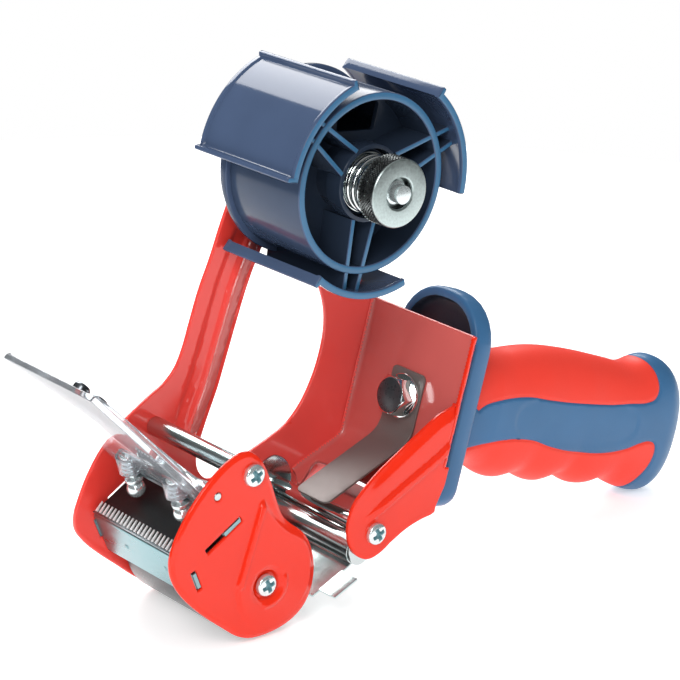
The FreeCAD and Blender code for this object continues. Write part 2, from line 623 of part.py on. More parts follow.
# standing lips: both ends of the first wing, the upper end of the other two
LIPS = {139.0: (-1, 1), 19.0: (1,), -101.0: (-1,)}
for w in WINGS:
    ribs = []
    for sg in (-1.0, 1.0):
        inner_off, outer_off, half = 4.9 * sg, 2.7 * sg, 0.5 * D["rib_thick"]
        a = math.radians(w)
        ca, sa = math.cos(a), math.sin(a)

        def loc(r, o):
            return (r * ca - o * sa, r * sa + o * ca)
        ribs += rounded([loc(8.0, inner_off - half), loc(36.6, outer_off - half), loc(36.6, outer_off + half), loc(8.0, inner_off + half)])
    pad(b, ribs, 0.3, 41.0)
    pad(b, sector(D["wing_radius"] - D["wing_thick"], D["wing_radius"], w - 31.0, w + 31.0), "Dims.wing_start", "Dims.wing_long")
    for e0, e1 in [(w - 31.0, w - 28.4) if q < 0 else (w + 28.4, w + 31.0) for q in LIPS[w]]:
        pad(b, sector(D["wing_radius"] - 0.5, D["lip_radius"], e0, e1), "Dims.wing_start", "Dims.wing_long")
holes(b, [(0.0, 0.0)], 11.7, -2.0, 6.0)
# light opening in the web between two rib pairs
cut(b, rounded([(-3.4, 14.6, 1.0), (12.6, 13.4, 1.0), (14.6, 22.6, 1.0), (-2.2, 26.6, 1.0)]), 13.0, 6.0)
holes(b, [(0.0, 0.0)], "Dims.hub_bore", -20.0, 90.0)

# ---------------------------------------------------------------- 20-22 brake
b = new_body("brake_cup")
discs(b, [(0.0, 0.0)], "Dims.cup_radius", 2.7, 1.0)
discs(b, [(0.0, 0.0)], "Dims.cup_radius - 2.6", 1.0, 2.0)
holes(b, [(0.0, 0.0)], "Dims.spindle_radius + 0.06", -20.0, 60.0)
# coil spring between the cup and the knob: round wire swept along a helix
turns = 2.6
steps = 62
helix = Part.BSplineCurve()
helix.interpolate([Vector(D["spring_radius"] * math.cos(2 * PI * turns * k / steps), -5.15 + 6.9 * k / steps,
                          D["spring_radius"] * math.sin(2 * PI * turns * k / steps)) for k in range(steps + 1)])
start = helix.value(helix.FirstParameter)
prof = Part.Wire([Part.Circle(start, helix.tangent(helix.FirstParameter)[0], D["spring_wire"]).toShape()])
feature("brake_spring", Part.Wire([helix.toShape()]).makePipeShell([prof], True, True))
b = new_body("brake_knob")
discs(b, [(0.0, 0.0)], "Dims.knob_radius", "Dims.knob_face", "Dims.knob_long")
holes(b, [(0.0, 0.0)], "Dims.knob_recess", "Dims.knob_face - 1", 3.4)
holes(b, [(0.0, 0.0)], "Dims.spindle_radius + 0.05", -20.0, 60.0)
grooves = []
for k in range(40):
    a = 2 * PI * k / 40.0
    r0 = D["knob_radius"]
    grooves += rounded([((r0 - 0.45) * math.cos(a), (r0 - 0.45) * math.sin(a)),
                        ((r0 + 0.4) * math.cos(a - 0.05), (r0 + 0.4) * math.sin(a - 0.05)),
                        ((r0 + 0.4) * math.cos(a + 0.05), (r0 + 0.4) * math.sin(a + 0.05))])
cut(b, grooves, -13.3, 6.4)

# ---------------------------------------------------------------- 23-25 grip
# sections across the grip: (u, top v, bottom v, half width)
TOP = [(14.0, 22.0), (20.0, 20.6), (26.0, 19.6), (33.0, 19.2), (41.4, 19.6), (47.0, 20.6), (54.0, 21.6), (62.0, 22.1), (71.0, 22.0),
       (82.0, 21.3), (93.0, 20.2), (99.5, 19.5), (104.0, 18.9), (108.0, 18.9), (112.0, 19.7), (116.0, 21.4),
       (120.0, 22.5), (124.5, 22.1), (129.0, 20.4), (133.5, 17.6), (137.2, 14.3), (140.2, 10.0), (142.2, 5.0), (143.4, -1.5)]
BOT = [(14.0, -23.4), (20.0, -22.2), (26.0, -21.4), (32.4, -21.6), (37.0, -23.4), (41.0, -26.0), (44.8, -27.3), (49.0, -27.6), (53.0, -26.8),
       (57.0, -25.6), (59.5, -25.5), (63.0, -27.0), (67.0, -28.2), (71.0, -28.4), (75.5, -27.2), (79.5, -25.5), (82.3, -25.0),
       (85.5, -26.6), (89.5, -28.3), (93.5, -28.8), (98.0, -28.4), (102.5, -27.0), (106.5, -26.2), (110.0, -26.8),
       (114.5, -28.6), (119.5, -29.9), (124.5, -30.7), (129.0, -30.6), (133.4, -29.0), (136.8, -26.0),
       (139.6, -21.4), (142.0, -15.2), (143.4, -8.0)]


def lookup(table, u):
    for (a, fa), (c, fc) in zip(table[:-1], table[1:]):
        if a <= u <= c:
            t = (u - a) / (c - a)
            return fa + (fc - fa) * t
    return table[-1][1]


def grip_width(u):
    w = D["grip_half"]
    if u < 34.0:
        w -= 2.2 * (34.0 - u) / 20.0
    if u > 128.0:
        t = min(1.0, (u - 128.0) / 15.9)
        w *= math.sqrt(max(0.0, 1.0 - t * t))
    return w


def grip_loft(skin, stations):
    wires = []
    for u in stations:
        vt, vb = lookup(TOP, u) - skin, lookup(BOT, u) + skin
        hw = grip_width(u) - skin
        cz, hh = 0.5 * (vt + vb), 0.5 * (vt - vb)
        ex = 2.0 / 2.35
        pts = []
        for k in range(28):
            a = 2 * PI * k / 28.0
            ca, sa = math.cos(a), math.sin(a)
            pts.append(Vector(u, D["mid_plane"] + hw * math.copysign(abs(ca) ** ex, ca),
                              cz + hh * math.copysign(abs(sa) ** ex, sa)))
        c = Part.BSplineCurve()
        c.interpolate(Points=pts, PeriodicFlag=True)
        wires.append(Part.Wire([c.toShape()]))
    return Part.makeLoft(wires, True, False)


ST = [14.0, 20.0, 26.0, 32.4, 37.0, 41.0, 44.8, 49.0, 53.0, 57.0, 59.5, 63.0, 67.0, 71.0, 75.5, 79.5, 82.3, 85.5, 89.5, 93.5,
      98.0, 102.5, 106.5, 110.0, 114.5, 119.5, 124.5, 129.0, 133.4, 136.8, 139.6, 141.6, 143.0]
outer = grip_loft(0.0, ST)
inner = grip_loft(D["grip_skin"], [u for u in ST if u <= 129.0])


def prism(points, y0, y1):
    face = Part.Face(Part.Wire([g.toShape() for g in points]))
    face.translate(Vector(0, y0, 0))
    return face.extrude(Vector(0, y1 - y0, 0))


def side_segments(segs):
    """Profile drawn in (u, v) turned up into the grip's side plane."""
    m = FreeCAD.Matrix()
    m.rotateX(PI / 2)
    out = []
    for g in segs:
        g = g.copy()
        g.transform(m)
        out.append(g)
    return out


top_zone = mixed([("S", [(24.2, -0.6), (26.9, 1.7), (31.5, 3.5), (38.6, 5.0), (48.7, 5.9), (59.5, 5.3), (70.2, 4.9), (81.1, 4.9),
                         (93.1, 5.1), (102.9, 5.9), (111.6, 6.7), (115.4, 8.4), (117.0, 12.0), (116.2, 17.0), (113.8, 22.6), (112.6, 27.0)]),
                  ("L", [(112.6, 27.0), (21.0, 27.0), (21.0, 4.0), (24.2, -0.6)])])
bot_zone = mixed([("S", [(21.6, -17.2), (26.5, -15.0), (33.3, -12.5), (40.4, -10.6), (47.9, -9.9), (55.9, -10.4), (64.5, -12.2),
                         (75.8, -13.7), (86.8, -14.1), (97.6, -13.4), (106.6, -11.6), (112.6, -9.2), (117.4, -8.1), (121.0, -9.0),
                         (122.6, -12.6), (122.2, -18.4), (120.2, -25.4), (118.6, -34.0)]),
                  ("L", [(118.6, -34.0), (21.6, -34.0), (21.6, -17.2)])])
shell = outer.cut(inner)
grip_top_shape = shell.common(prism(side_segments(top_zone), -5.0, 45.0))
grip_bottom_shape = shell.common(prism(side_segments(bot_zone), -5.0, 45.0))
core = outer.cut(grip_top_shape).cut(grip_bottom_shape)

# finger guard: a shallow cup behind the rear wall, open to the front
def guard_outline(half, top, bottom, r_top, r_bot):
    m = D["mid_plane"]
    return rounded([(m - half, bottom, r_bot), (m + half, bottom, r_bot), (m + half, top, r_top), (m - half, top, r_top)])


def guard_block(half, top, bottom, r_top, r_bot, u0, u1):
    face = Part.Face(Part.Wire([g.toShape() for g in guard_outline(half, top, bottom, r_top, r_bot)]))
    m = FreeCAD.Matrix(0, 0, 1, u0, 1, 0, 0, 0, 0, 1, 0, 0, 0, 0, 0, 1)
    face = face.transformGeometry(m)
    return face.extrude(Vector(u1 - u0, 0, 0))


g0 = D["guard_front"]
g1 = g0 + D["guard_deep"]
gh, gw = D["guard_half"], D["guard_wall"]
cup = guard_block(gh, 39.9, -36.0, 18.5, 8.0, g0, g1)
back_edges = [e for e in cup.Edges if abs(e.BoundBox.XMin - g1) < 1e-3 and e.BoundBox.XLength < 1e-3]
cup = cup.makeFillet(3.0, back_edges)
hollow = guard_block(gh - gw, 39.9 - gw - 0.8, -36.0 + gw, 15.3, 5.0, g0 - 1.0, g1 - 3.0)
cup = cup.cut(hollow)
pillar = Part.makeCylinder(10.5, g1 - 1.6, Vector(1.55, D["mid_plane"], 0), Vector(1, 0, 0))
core = core.fuse(cup).fuse(pillar)
core = core.cut(Part.makeCylinder(D["bolt_hole"], 30.0, Vector(0.0, D["mid_plane"], 0), Vector(1, 0, 0)))
nut_cut = Part.Face(Part.Wire([g.toShape() for g in hexagon(D["hex_flats"] + 0.1)]))
nut_cut = nut_cut.extrude(Vector(0, 0, 6.6))
nut_cut.rotate(Vector(0, 0, 0), Vector(0, 1, 0), 90)
nut_cut.translate(Vector(11.95, D["mid_plane"], 0))
core = core.cut(nut_cut)
core = core.removeSplitter()


def solid_of(shape):
    sols = sorted(shape.Solids, key=lambda x: -x.Volume)
    return sols[0]


ox, oz = WX, WZ
feature("handle_core", solid_of(core), ox, 0.0, oz, D["wall_tilt"])
feature("grip_insert_top", solid_of(grip_top_shape), ox, 0.0, oz, D["wall_tilt"])
feature("grip_insert_bottom", solid_of(grip_bottom_shape), ox, 0.0, oz, D["wall_tilt"])

# ---------------------------------------------------------------- 26 flap
# local frame of the flap: X from the hinge edge up to the free edge, Z out of
# its back face; the plate leans forward at 45 degrees
FT = (0.70710678, -0.70710678)
FN = (0.70710678, 0.70710678)
TIP = (-112.1, -51.9)


def flap_pt(s_, d_):
    """s_ from the free edge towards the hinge, d_ towards the back."""
    return (TIP[0] + s_ * FT[0] + d_ * FN[0], TIP[1] + s_ * FT[1] + d_ * FN[1])


b = new_body("flap_plate")
pad(b, rounded([flap_pt(-1.5, -1.0) + (0.4,), flap_pt(62.6, -1.0) + (0.4,), flap_pt(62.6, 1.0) + (0.4,), flap_pt(-1.5, 1.0) + (0.4,)]), "Dims.flap_start", "Dims.flap_width")
rib = mixed([("L", [flap_pt(-0.5, 0.0), flap_pt(62.0, 0.0)]),
             ("S", [flap_pt(62.0, 0.0), flap_pt(64.4, 1.6), flap_pt(65.2, 4.2), flap_pt(63.6, 6.7), flap_pt(60.8, 7.0), flap_pt(57.6, 5.9), flap_pt(53.0, 4.4),
                    flap_pt(44.0, 3.5), flap_pt(32.0, 2.9), flap_pt(20.0, 2.6), flap_pt(8.0, 2.2), flap_pt(-0.5, 1.6)]),
             ("L", [flap_pt(-0.5, 1.6), flap_pt(-0.5, 0.0)])])
pad(b, rib, "Dims.flap_start", "Dims.flap_rib")
pad(b, rib, "Dims.flap_start + Dims.flap_width - Dims.flap_rib", "Dims.flap_rib")
holes(b, [HINGE], "Dims.pin_radius + Dims.pin_fit", -20.0, 90.0)
# notches in the lower edge for the two press studs
AX = (0.283, -0.959)
AN = (0.959, 0.283)
PL = (-71.4, -93.9)
STUD_Y = (7.0, 33.0)


def plunge(a_, c_):
    """Point beside the stud axis: a_ down the stroke, c_ towards the hinge."""
    return (PL[0] + a_ * AX[0] + c_ * AN[0], PL[1] + a_ * AX[1] + c_ * AN[1])


for yy in STUD_Y:
    pad(b, rounded([plunge(-4.4, -4.3), plunge(2.0, -4.3), plunge(2.0, 1.2), plunge(-4.4, 1.2)]), yy - 4.3, 8.6)
for yy in STUD_Y:
    cut(b, rounded([plunge(-12.0, -3.3), plunge(8.0, -3.3), plunge(8.0, 3.3), plunge(-12.0, 3.3)]), yy - 3.3, 6.6)

b = new_body("flap_hinge_rod")
discs(b, [HINGE], "Dims.pin_radius", -7.9, 55.8)

# hinge bracket behind the flap: knuckle round the rod, back leg and lower shelf
b = new_body("flap_bracket")
pad(b, rounded([flap_pt(46.0, 1.03), flap_pt(60.4, 1.03), flap_pt(60.4, 2.2), flap_pt(46.0, 2.2)]), 11.6, 16.8)
discs(b, [HINGE], 2.62, 11.6, 16.8)
pad(b, rounded([plunge(3.75, 1.9), plunge(4.75, 1.9), plunge(4.75, 5.4), plunge(2.6, 6.4), plunge(1.0, 6.4), plunge(1.0, 5.2), plunge(3.75, 4.2)]), 1.5, 37.0)
holes(b, [HINGE], "Dims.pin_radius + Dims.pin_fit", -20.0, 90.0)

# sprung press studs: a pin with a ball end in a short coil
pins, coils = [], []
for yy in STUD_Y:
    a0 = Vector(plunge(-4.2, 0)[0], yy, plunge(-4.2, 0)[1])
    d = Vector(AX[0], 0, AX[1])
    stem = Part.makeCylinder(1.5, 13.0, a0, d)
    ball = Part.makeSphere(3.0, Vector(plunge(9.4, 0)[0], yy, plunge(9.4, 0)[1]))
    collar = Part.makeCylinder(3.1, 1.4, Vector(plunge(4.8, 0)[0], yy, plunge(4.75, 0)[1]), d)
    top = Part.makeCylinder(2.9, 1.0, Vector(plunge(-4.6, 0)[0], yy, plunge(-4.6, 0)[1]), d)
    pins.append(stem.fuse(ball).fuse(collar).fuse(top).removeSplitter())
    body_coil = Part.makeCylinder(2.9, 6.8, Vector(plunge(-3.5, 0)[0], yy, plunge(-3.5, 0)[1]), d)
    coils.append(body_coil.cut(Part.makeCylinder(1.55, 20.0, Vector(plunge(-6, 0)[0], yy, plunge(-6, 0)[1]), d)))
press = feature("press_studs", Part.makeCompound(pins))
coilf = feature("press_stud_springs", Part.makeCompound(coils))
# round studs behind the free edge
studs = []
for s_, yy, hgt in ((6.0, 12.0, 3.4), (8.6, 4.4, 2.6)):
    p0 = flap_pt(s_, 1.0)
    st = Part.makeCylinder(2.9, hgt, Vector(p0[0], yy, p0[1]), Vector(FN[0], 0, FN[1]))
    tops = [e for e in st.Edges if e.Curve.TypeId == "Part::GeomCircle" and
            (e.Curve.Center - Vector(p0[0], yy, p0[1])).Length > 1.0]
    st = st.makeFillet(1.0, tops)
    studs.append(st)
feature("flap_studs", Part.makeCompound(studs))
# torsion spring round the hinge rod
hh = Part.makeHelix(1.0, 1.7, 1.86)
pw = Part.Wire([Part.makeCircle(0.45, Vector(1.86, 0, 0), Vector(0, 1, 0))])
ts = Part.Wire(hh.Edges).makePipeShell([pw], True, True)
spring = feature("flap_spring", ts)
spring.Placement = Placement(SHIFT + Vector(HINGE[0], 39.1, HINGE[1]), Rotation(Vector(1, 0, 0), -90))

# ---------------------------------------------------------------- write
doc.recompute()
bad = [o.Name for o in doc.Objects if any(st in ("Invalid", "Error") for st in o.State)]
if bad:
    raise RuntimeError("failed objects: " + ", ".join(bad))
seen = set()
for n in NODES:
    sh = n.Shape
    if sh.isNull() or not sh.isValid() or not sh.Solids:
        raise RuntimeError("bad shape: " + n.Label)
    if n.Label in seen:
        raise RuntimeError("label twice: " + n.Label)
    seen.add(n.Label)
os.makedirs("parts", exist_ok=True)
total = None
for n in NODES:
    n.Shape.exportStep("parts/%s.step" % n.Label)
    bb = n.Shape.optimalBoundingBox(False, False)
    total = bb if total is None else total.united(bb)
    print("%-20s solids %d vol %.0f  x %.1f..%.1f y %.1f..%.1f z %.1f..%.1f" % (
        n.Label, len(n.Shape.Solids), n.Shape.Volume, bb.XMin, bb.XMax, bb.YMin, bb.YMax, bb.ZMin, bb.ZMax))
print("nodes", len(NODES), "box", total)
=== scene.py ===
import math

import bpy
import numpy as np
from mathutils import Matrix, Vector
from mathutils.geometry import delaunay_2d_cdt


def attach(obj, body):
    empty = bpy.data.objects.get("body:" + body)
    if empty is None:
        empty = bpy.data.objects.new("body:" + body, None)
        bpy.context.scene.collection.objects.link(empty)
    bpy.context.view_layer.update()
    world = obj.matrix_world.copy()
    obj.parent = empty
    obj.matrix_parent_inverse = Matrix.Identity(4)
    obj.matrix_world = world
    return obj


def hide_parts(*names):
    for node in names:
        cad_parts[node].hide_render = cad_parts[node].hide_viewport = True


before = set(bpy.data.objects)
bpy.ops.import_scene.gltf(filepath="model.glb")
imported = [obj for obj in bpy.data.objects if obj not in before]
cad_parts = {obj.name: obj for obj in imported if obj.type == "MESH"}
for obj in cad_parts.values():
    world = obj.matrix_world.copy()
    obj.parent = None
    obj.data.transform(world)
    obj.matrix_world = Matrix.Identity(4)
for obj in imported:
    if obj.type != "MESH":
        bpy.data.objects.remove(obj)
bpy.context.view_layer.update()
SC = bpy.context.scene
PI = math.pi

# Working lengths are millimetres about the hub axle; SH takes them to the part's frame.
SH = np.array([-32.07, -20.35, 148.25])
TILT = math.radians(14.0)
UX, UZ = math.cos(TILT), -math.sin(TILT)
VX, VZ = math.sin(TILT), math.cos(TILT)
WX, WZ = 37.4, -87.3
MID = 20.0
TUBE, ROLL, ROD, HINGE = (-52.0, -88.2), (-45.0, -128.8), (1.8, -121.3), (-66.0, -92.8)


def uv(u, v):
    return (WX + u * UX + v * VX, WZ + u * UZ + v * VZ)


def smoothstep(a, b, x):
    t = np.clip((np.asarray(x, float) - a) / (b - a), 0, 1)
    return t * t * (3 - 2 * t)


# ------------------------------------------------------------------ 2D curves
def cr(points, step=1.0, closed=False):
    """Smooth curve through the points (centripetal), sampled at about step."""
    P = [np.array(p, float) for p in points]
    n = len(P)
    if closed:
        ext = [P[-1]] + P + [P[0], P[1]]
        spans = n
    else:
        ext = [2 * P[0] - P[1]] + P + [2 * P[-1] - P[-2]]
        spans = n - 1
    out = []
    for i in range(spans):
        p0, p1, p2, p3 = ext[i], ext[i + 1], ext[i + 2], ext[i + 3]
        t0 = 0.0
        t1 = t0 + max(1e-6, np.linalg.norm(p1 - p0)) ** 0.5
        t2 = t1 + max(1e-6, np.linalg.norm(p2 - p1)) ** 0.5
        t3 = t2 + max(1e-6, np.linalg.norm(p3 - p2)) ** 0.5
        m = max(1, int(round(np.linalg.norm(p2 - p1) / step)))
        for k in range(m):
            t = t1 + (t2 - t1) * k / m
            a1 = (t1 - t) / (t1 - t0) * p0 + (t - t0) / (t1 - t0) * p1
            a2 = (t2 - t) / (t2 - t1) * p1 + (t - t1) / (t2 - t1) * p2
            a3 = (t3 - t) / (t3 - t2) * p2 + (t - t2) / (t3 - t2) * p3
            b1 = (t2 - t) / (t2 - t0) * a1 + (t - t0) / (t2 - t0) * a2
            b2 = (t3 - t) / (t3 - t1) * a2 + (t - t1) / (t3 - t1) * a3
            out.append((t2 - t) / (t2 - t1) * b1 + (t - t1) / (t2 - t1) * b2)
    if not closed:
        out.append(P[-1])
    return [tuple(p) for p in out]


def line(a, b, step=1.0, last=True):
    n = max(1, int(round(math.dist(a[:2], b[:2]) / step)))
    return [(a[0] + (b[0] - a[0]) * k / n, a[1] + (b[1] - a[1]) * k / n) for k in range(n + (1 if last else 0))]


def circle(c, r, n=40, a0=0.0):
    return [(c[0] + r * math.cos(a0 + 2 * PI * k / n), c[1] + r * math.sin(a0 + 2 * PI * k / n)) for k in range(n)]


def arc(c, r, a0, a1, n):
    return [(c[0] + r * math.cos(math.radians(a0 + (a1 - a0) * k / n)), c[1] + r * math.sin(math.radians(a0 + (a1 - a0) * k / n)))
            for k in range(n + 1)]


def rounded(points, step=None, closed=True):
    """Polygon with (x, y, radius) corners; straight runs are split by step."""
    n = len(points)
    P = [np.array(p[:2], float) for p in points]
    R = [p[2] if len(p) > 2 else 0.0 for p in points]
    corners = []
    for i in range(n):
        if R[i] <= 0 or (not closed and i in (0, n - 1)):
            corners.append([P[i]])
            continue
        da = P[i - 1] - P[i]
        db = P[(i + 1) % n] - P[i]
        la, lb = np.linalg.norm(da), np.linalg.norm(db)
        da, db = da / la, db / lb
        ang = math.acos(max(-1, min(1, float(da @ db))))
        r = min(R[i], 0.49 * min(la, lb) * math.tan(ang / 2))
        cut = r / math.tan(ang / 2)
        s, e = P[i] + da * cut, P[i] + db * cut
        mid = (da + db) / np.linalg.norm(da + db)
        c = P[i] + mid * (r / math.sin(ang / 2))
        k = max(2, int(math.ceil((PI - ang) / 0.26)))
        a0, a1 = math.atan2(*(s - c)[::-1]), math.atan2(*(e - c)[::-1])
        d = (a1 - a0 + PI) % (2 * PI) - PI
        corners.append([c + r * np.array([math.cos(a0 + d * j / k), math.sin(a0 + d * j / k)]) for j in range(k + 1)])
    out = []
    for i in range(n):
        out += [tuple(p) for p in corners[i]]
        if closed or i < n - 1:
            a, b = corners[i][-1], corners[(i + 1) % n][0]
            if step and math.dist(a, b) > 1.5 * step:
                out += line(tuple(a), tuple(b), step, last=False)[1:]
    return out


def ring_area(loop):
    a = np.array(loop)
    b = np.roll(a, -1, 0)
    return 0.5 * float(np.sum(a[:, 0] * b[:, 1] - b[:, 0] * a[:, 1]))


def inside(points, loop):
    p = np.asarray(points, float)
    q = np.asarray(loop, float)
    r = np.roll(q, -1, 0)
    res = np.zeros(len(p), bool)
    for (x1, y1), (x2, y2) in zip(q, r):
        if abs(y2 - y1) < 1e-12:
            continue
        hit = ((y1 > p[:, 1]) != (y2 > p[:, 1])) & (p[:, 0] < (x2 - x1) * (p[:, 1] - y1) / (y2 - y1) + x1)
        res ^= hit
    return res


def seg_dist(points, path, closed=False):
    """Distance and arc position of points to a polyline."""
    p = np.asarray(points, float)
    q = np.asarray(path, float)
    if closed:
        q = np.vstack([q, q[:1]])
    best = np.full(len(p), 1e9)
    where = np.zeros(len(p))
    side = np.zeros(len(p))
    s0 = 0.0
    for a, b in zip(q[:-1], q[1:]):
        d = b - a
        L = float(np.linalg.norm(d))
        if L < 1e-9:
            continue
        t = np.clip(((p - a) @ d) / (L * L), 0, 1)
        c = a + t[:, None] * d
        w = np.linalg.norm(p - c, axis=1)
        m = w < best
        best[m] = w[m]
        where[m] = s0 + t[m] * L
        side[m] = np.sign(d[0] * (p[m, 1] - a[1]) - d[1] * (p[m, 0] - a[0]))
        s0 += L
    return best, where, side, s0


# ------------------------------------------------------------------ solids
def beside(path, dists, step=1.3, closed=False):
    """Lines running beside a path at the given signed distances."""
    q = np.asarray(path, float)
    if not closed:
        L = np.concatenate([[0], np.cumsum(np.linalg.norm(np.diff(q, axis=0), axis=1))])
        t = np.linspace(0, L[-1], max(2, int(L[-1] / step)))
        q = np.stack([np.interp(t, L, q[:, 0]), np.interp(t, L, q[:, 1])], 1)
    g = (np.roll(q, -1, 0) - np.roll(q, 1, 0)) if closed else np.gradient(q, axis=0)
    g /= np.linalg.norm(g, axis=1)[:, None]
    n = np.stack([-g[:, 1], g[:, 0]], 1)
    out = []
    for d in dists:
        r = q + n * d
        out.append([tuple(v) for v in r] + ([tuple(r[0])] if closed else []))
    return out


def prism(loops, y0, y1, r=0.4, grid=None, relief=None, xf=None, seg=3, r2=None, rows_in=()):
    """Plate between y0 and y1 with rounded rims. loops[0] is the outline, the rest are holes.
    relief(a, b) lifts both faces towards y0; xf maps (a, b, y) to space; rows_in are lines the mesh follows."""
    loops = [list(l) for l in loops]
    for i, l in enumerate(loops):
        if (ring_area(l) > 0) != (i == 0):
            loops[i] = l[::-1]
    r = min(r, 0.48 * abs(y1 - y0))
    r2 = r if r2 is None else r2
    verts, faces = [], []
    layers = []
    angs = [PI / 2 * k / seg for k in range(seg + 1)] if r > 0 else [PI / 2]
    for k in range(len(angs)):
        layers.append((r * (1 - math.sin(angs[k])), y0 + r * (1 - math.cos(angs[k])) if r > 0 else y0))
    angs2 = [PI / 2 * k / seg for k in range(seg + 1)][::-1] if r2 > 0 else [PI / 2]
    for k in range(len(angs2)):
        layers.append((r2 * (1 - math.sin(angs2[k])), y1 - r2 * (1 - math.cos(angs2[k])) if r2 > 0 else y1))
    # layer order: inset at y0 face, growing out, then back in at y1 face
    index = []
    for l in loops:
        a = np.array(l)
        prev, nxt = np.roll(a, 1, 0), np.roll(a, -1, 0)
        e1 = a - prev
        e2 = nxt - a
        e1 /= np.maximum(1e-9, np.linalg.norm(e1, axis=1))[:, None]
        e2 /= np.maximum(1e-9, np.linalg.norm(e2, axis=1))[:, None]
        n1 = np.stack([-e1[:, 1], e1[:, 0]], 1)
        n2 = np.stack([-e2[:, 1], e2[:, 0]], 1)
        m = n1 + n2
        m /= np.maximum(0.35, np.sum(m * n1, 1))[:, None]
        rows = []
        for inset, y in layers:
            base = len(verts)
            q = a + m * inset
            verts += [(x, z, y) for x, z in q]
            rows.append(list(range(base, base + len(a))))
        n = len(a)
        for k in range(len(rows) - 1):
            for j in range(n):
                faces.append((rows[k][j], rows[k][(j + 1) % n], rows[k + 1][(j + 1) % n], rows[k + 1][j]))
        index.append((rows[0], rows[-1]))
    for cap in (0, 1):
        ids = [i for pair in index for i in pair[cap]]
        pts = [verts[i][:2] for i in ids]
        edges, off = [], 0
        rings = []
        for pair in index:
            n = len(pair[cap])
            edges += [(off + j, off + (j + 1) % n) for j in range(n)]
            rings.append(pts[off:off + n])
            off += n
        extra = []
        rowp, rowe = [], []
        bound = np.array(pts)
        for row in rows_in:
            rp = np.array(row, float)
            ok = inside(rp, rings[0])
            for h in rings[1:]:
                ok &= ~inside(rp, h)
            ok &= np.linalg.norm(rp[:, None, :] - bound[None], axis=2).min(1) > 0.7
            last = None
            for k_, (q_, o_) in enumerate(zip(rp, ok)):
                if not o_:
                    last = None
                    continue
                if k_ == len(rp) - 1 and np.allclose(rp[0], q_) and ok[0]:
                    if last is not None:
                        rowe.append((last, first))
                    continue
                rowp.append(tuple(q_))
                here = len(rowp) - 1
                if k_ == 0:
                    first = here
                if last is not None:
                    rowe.append((last, here))
                last = here
        if grid:
            a = np.array(rings[0])
            lo, hi = a.min(0), a.max(0)
            nx, ny = int((hi[0] - lo[0]) / grid) + 1, int((hi[1] - lo[1]) / grid) + 1
            gx, gy = np.meshgrid(lo[0] + grid * (np.arange(nx) + 0.5), lo[1] + grid * (np.arange(ny) + 0.5))
            gx[::2] += grid * 0.5
            g = np.stack([gx.ravel(), gy.ravel()], 1)
            keep = inside(g, rings[0])
            for h in rings[1:]:
                keep &= ~inside(g, h)
            g = g[keep]
            allp = np.array(pts)
            if len(g):
                near = np.full(len(g), 1e9)
                for c in range(0, len(allp), 200):
                    d = np.linalg.norm(g[:, None, :] - allp[None, c:c + 200, :], axis=2).min(1)
                    near = np.minimum(near, d)
                g = g[near > 0.55 * grid]
                if rowp:
                    near = np.full(len(g), 1e9)
                    ra = np.array(rowp)
                    for c in range(0, len(ra), 200):
                        near = np.minimum(near, np.linalg.norm(g[:, None, :] - ra[None, c:c + 200, :], axis=2).min(1))
                    g = g[near > 0.5 * grid]
                extra = [tuple(p) for p in g]
        base_n = len(pts)
        edges += [(base_n + i, base_n + j) for i, j in rowe]
        full = [Vector(p) for p in pts] + [Vector(p) for p in rowp] + [Vector(p) for p in extra]
        cv, ce, cf, ov, oe, of_ = delaunay_2d_cdt(full, edges, [], 0, 1e-7)
        remap = []
        for k, v in enumerate(cv):
            src = ov[k][0] if ov[k] else -1
            if 0 <= src < len(ids):
                remap.append(ids[src])
            else:
                remap.append(len(verts))
                verts.append((v.x, v.y, layers[0][1] if cap == 0 else layers[-1][1]))
        tri = np.array([[cv[i].to_tuple() for i in f] for f in cf])
        cen = tri.mean(1)
        keep = inside(cen, rings[0])
        for h in rings[1:]:
            keep &= ~inside(cen, h)
        for f, k in zip(cf, keep):
            if k:
                t = [remap[i] for i in f]
                if len(set(t)) == 3:
                    faces.append(tuple(t) if cap == 1 else tuple(t[::-1]))
    v = np.array(verts, float)
    if relief is not None:
        h = relief(v[:, 0], v[:, 1])
        v[:, 2] -= h
    if xf is None:
        out = np.stack([v[:, 0], v[:, 2], v[:, 1]], 1)
    else:
        out = xf(v[:, 0], v[:, 1], v[:, 2])
    return out, faces


def revolve(profile, centre, axis="y", n=64, closed=False, wave=None):
    """Turned solid: profile of (radius, height) along the axis through centre (x, y, z)."""
    verts, faces, rows = [], [], []
    for r, h in profile:
        if r < 1e-6:
            rows.append([len(verts)])
            verts.append((0, 0, h))
        else:
            rows.append(list(range(len(verts), len(verts) + n)))
            for k in range(n):
                a = 2 * PI * k / n
                q = r + (wave(a, h) if wave else 0.0)
                verts.append((q * math.cos(a), q * math.sin(a), h))
    pairs = list(zip(rows[:-1], rows[1:]))
    if closed:
        pairs.append((rows[-1], rows[0]))
    for a, b in pairs:
        if len(a) == 1 and len(b) == 1:
            continue
        for k in range(n):
            j = (k + 1) % n
            if len(a) == 1:
                faces.append((a[0], b[k], b[j]))
            elif len(b) == 1:
                faces.append((a[k], b[0], a[j]))
            else:
                faces.append((a[k], b[k], b[j], a[j]))
    v = np.array(verts, float)
    if axis == "y":
        out = np.stack([v[:, 0] + centre[0], v[:, 2] + centre[1], v[:, 1] + centre[2]], 1)
    else:
        w = np.array(axis, float)
        w /= np.linalg.norm(w)
        a = np.cross(w, [0, 1, 0])
        if np.linalg.norm(a) < 1e-6:
            a = np.array([1.0, 0, 0])
        a /= np.linalg.norm(a)
        b = np.cross(w, a)
        out = np.array(centre) + v[:, :1] * a + v[:, 1:2] * b + v[:, 2:3] * w
    return out, faces


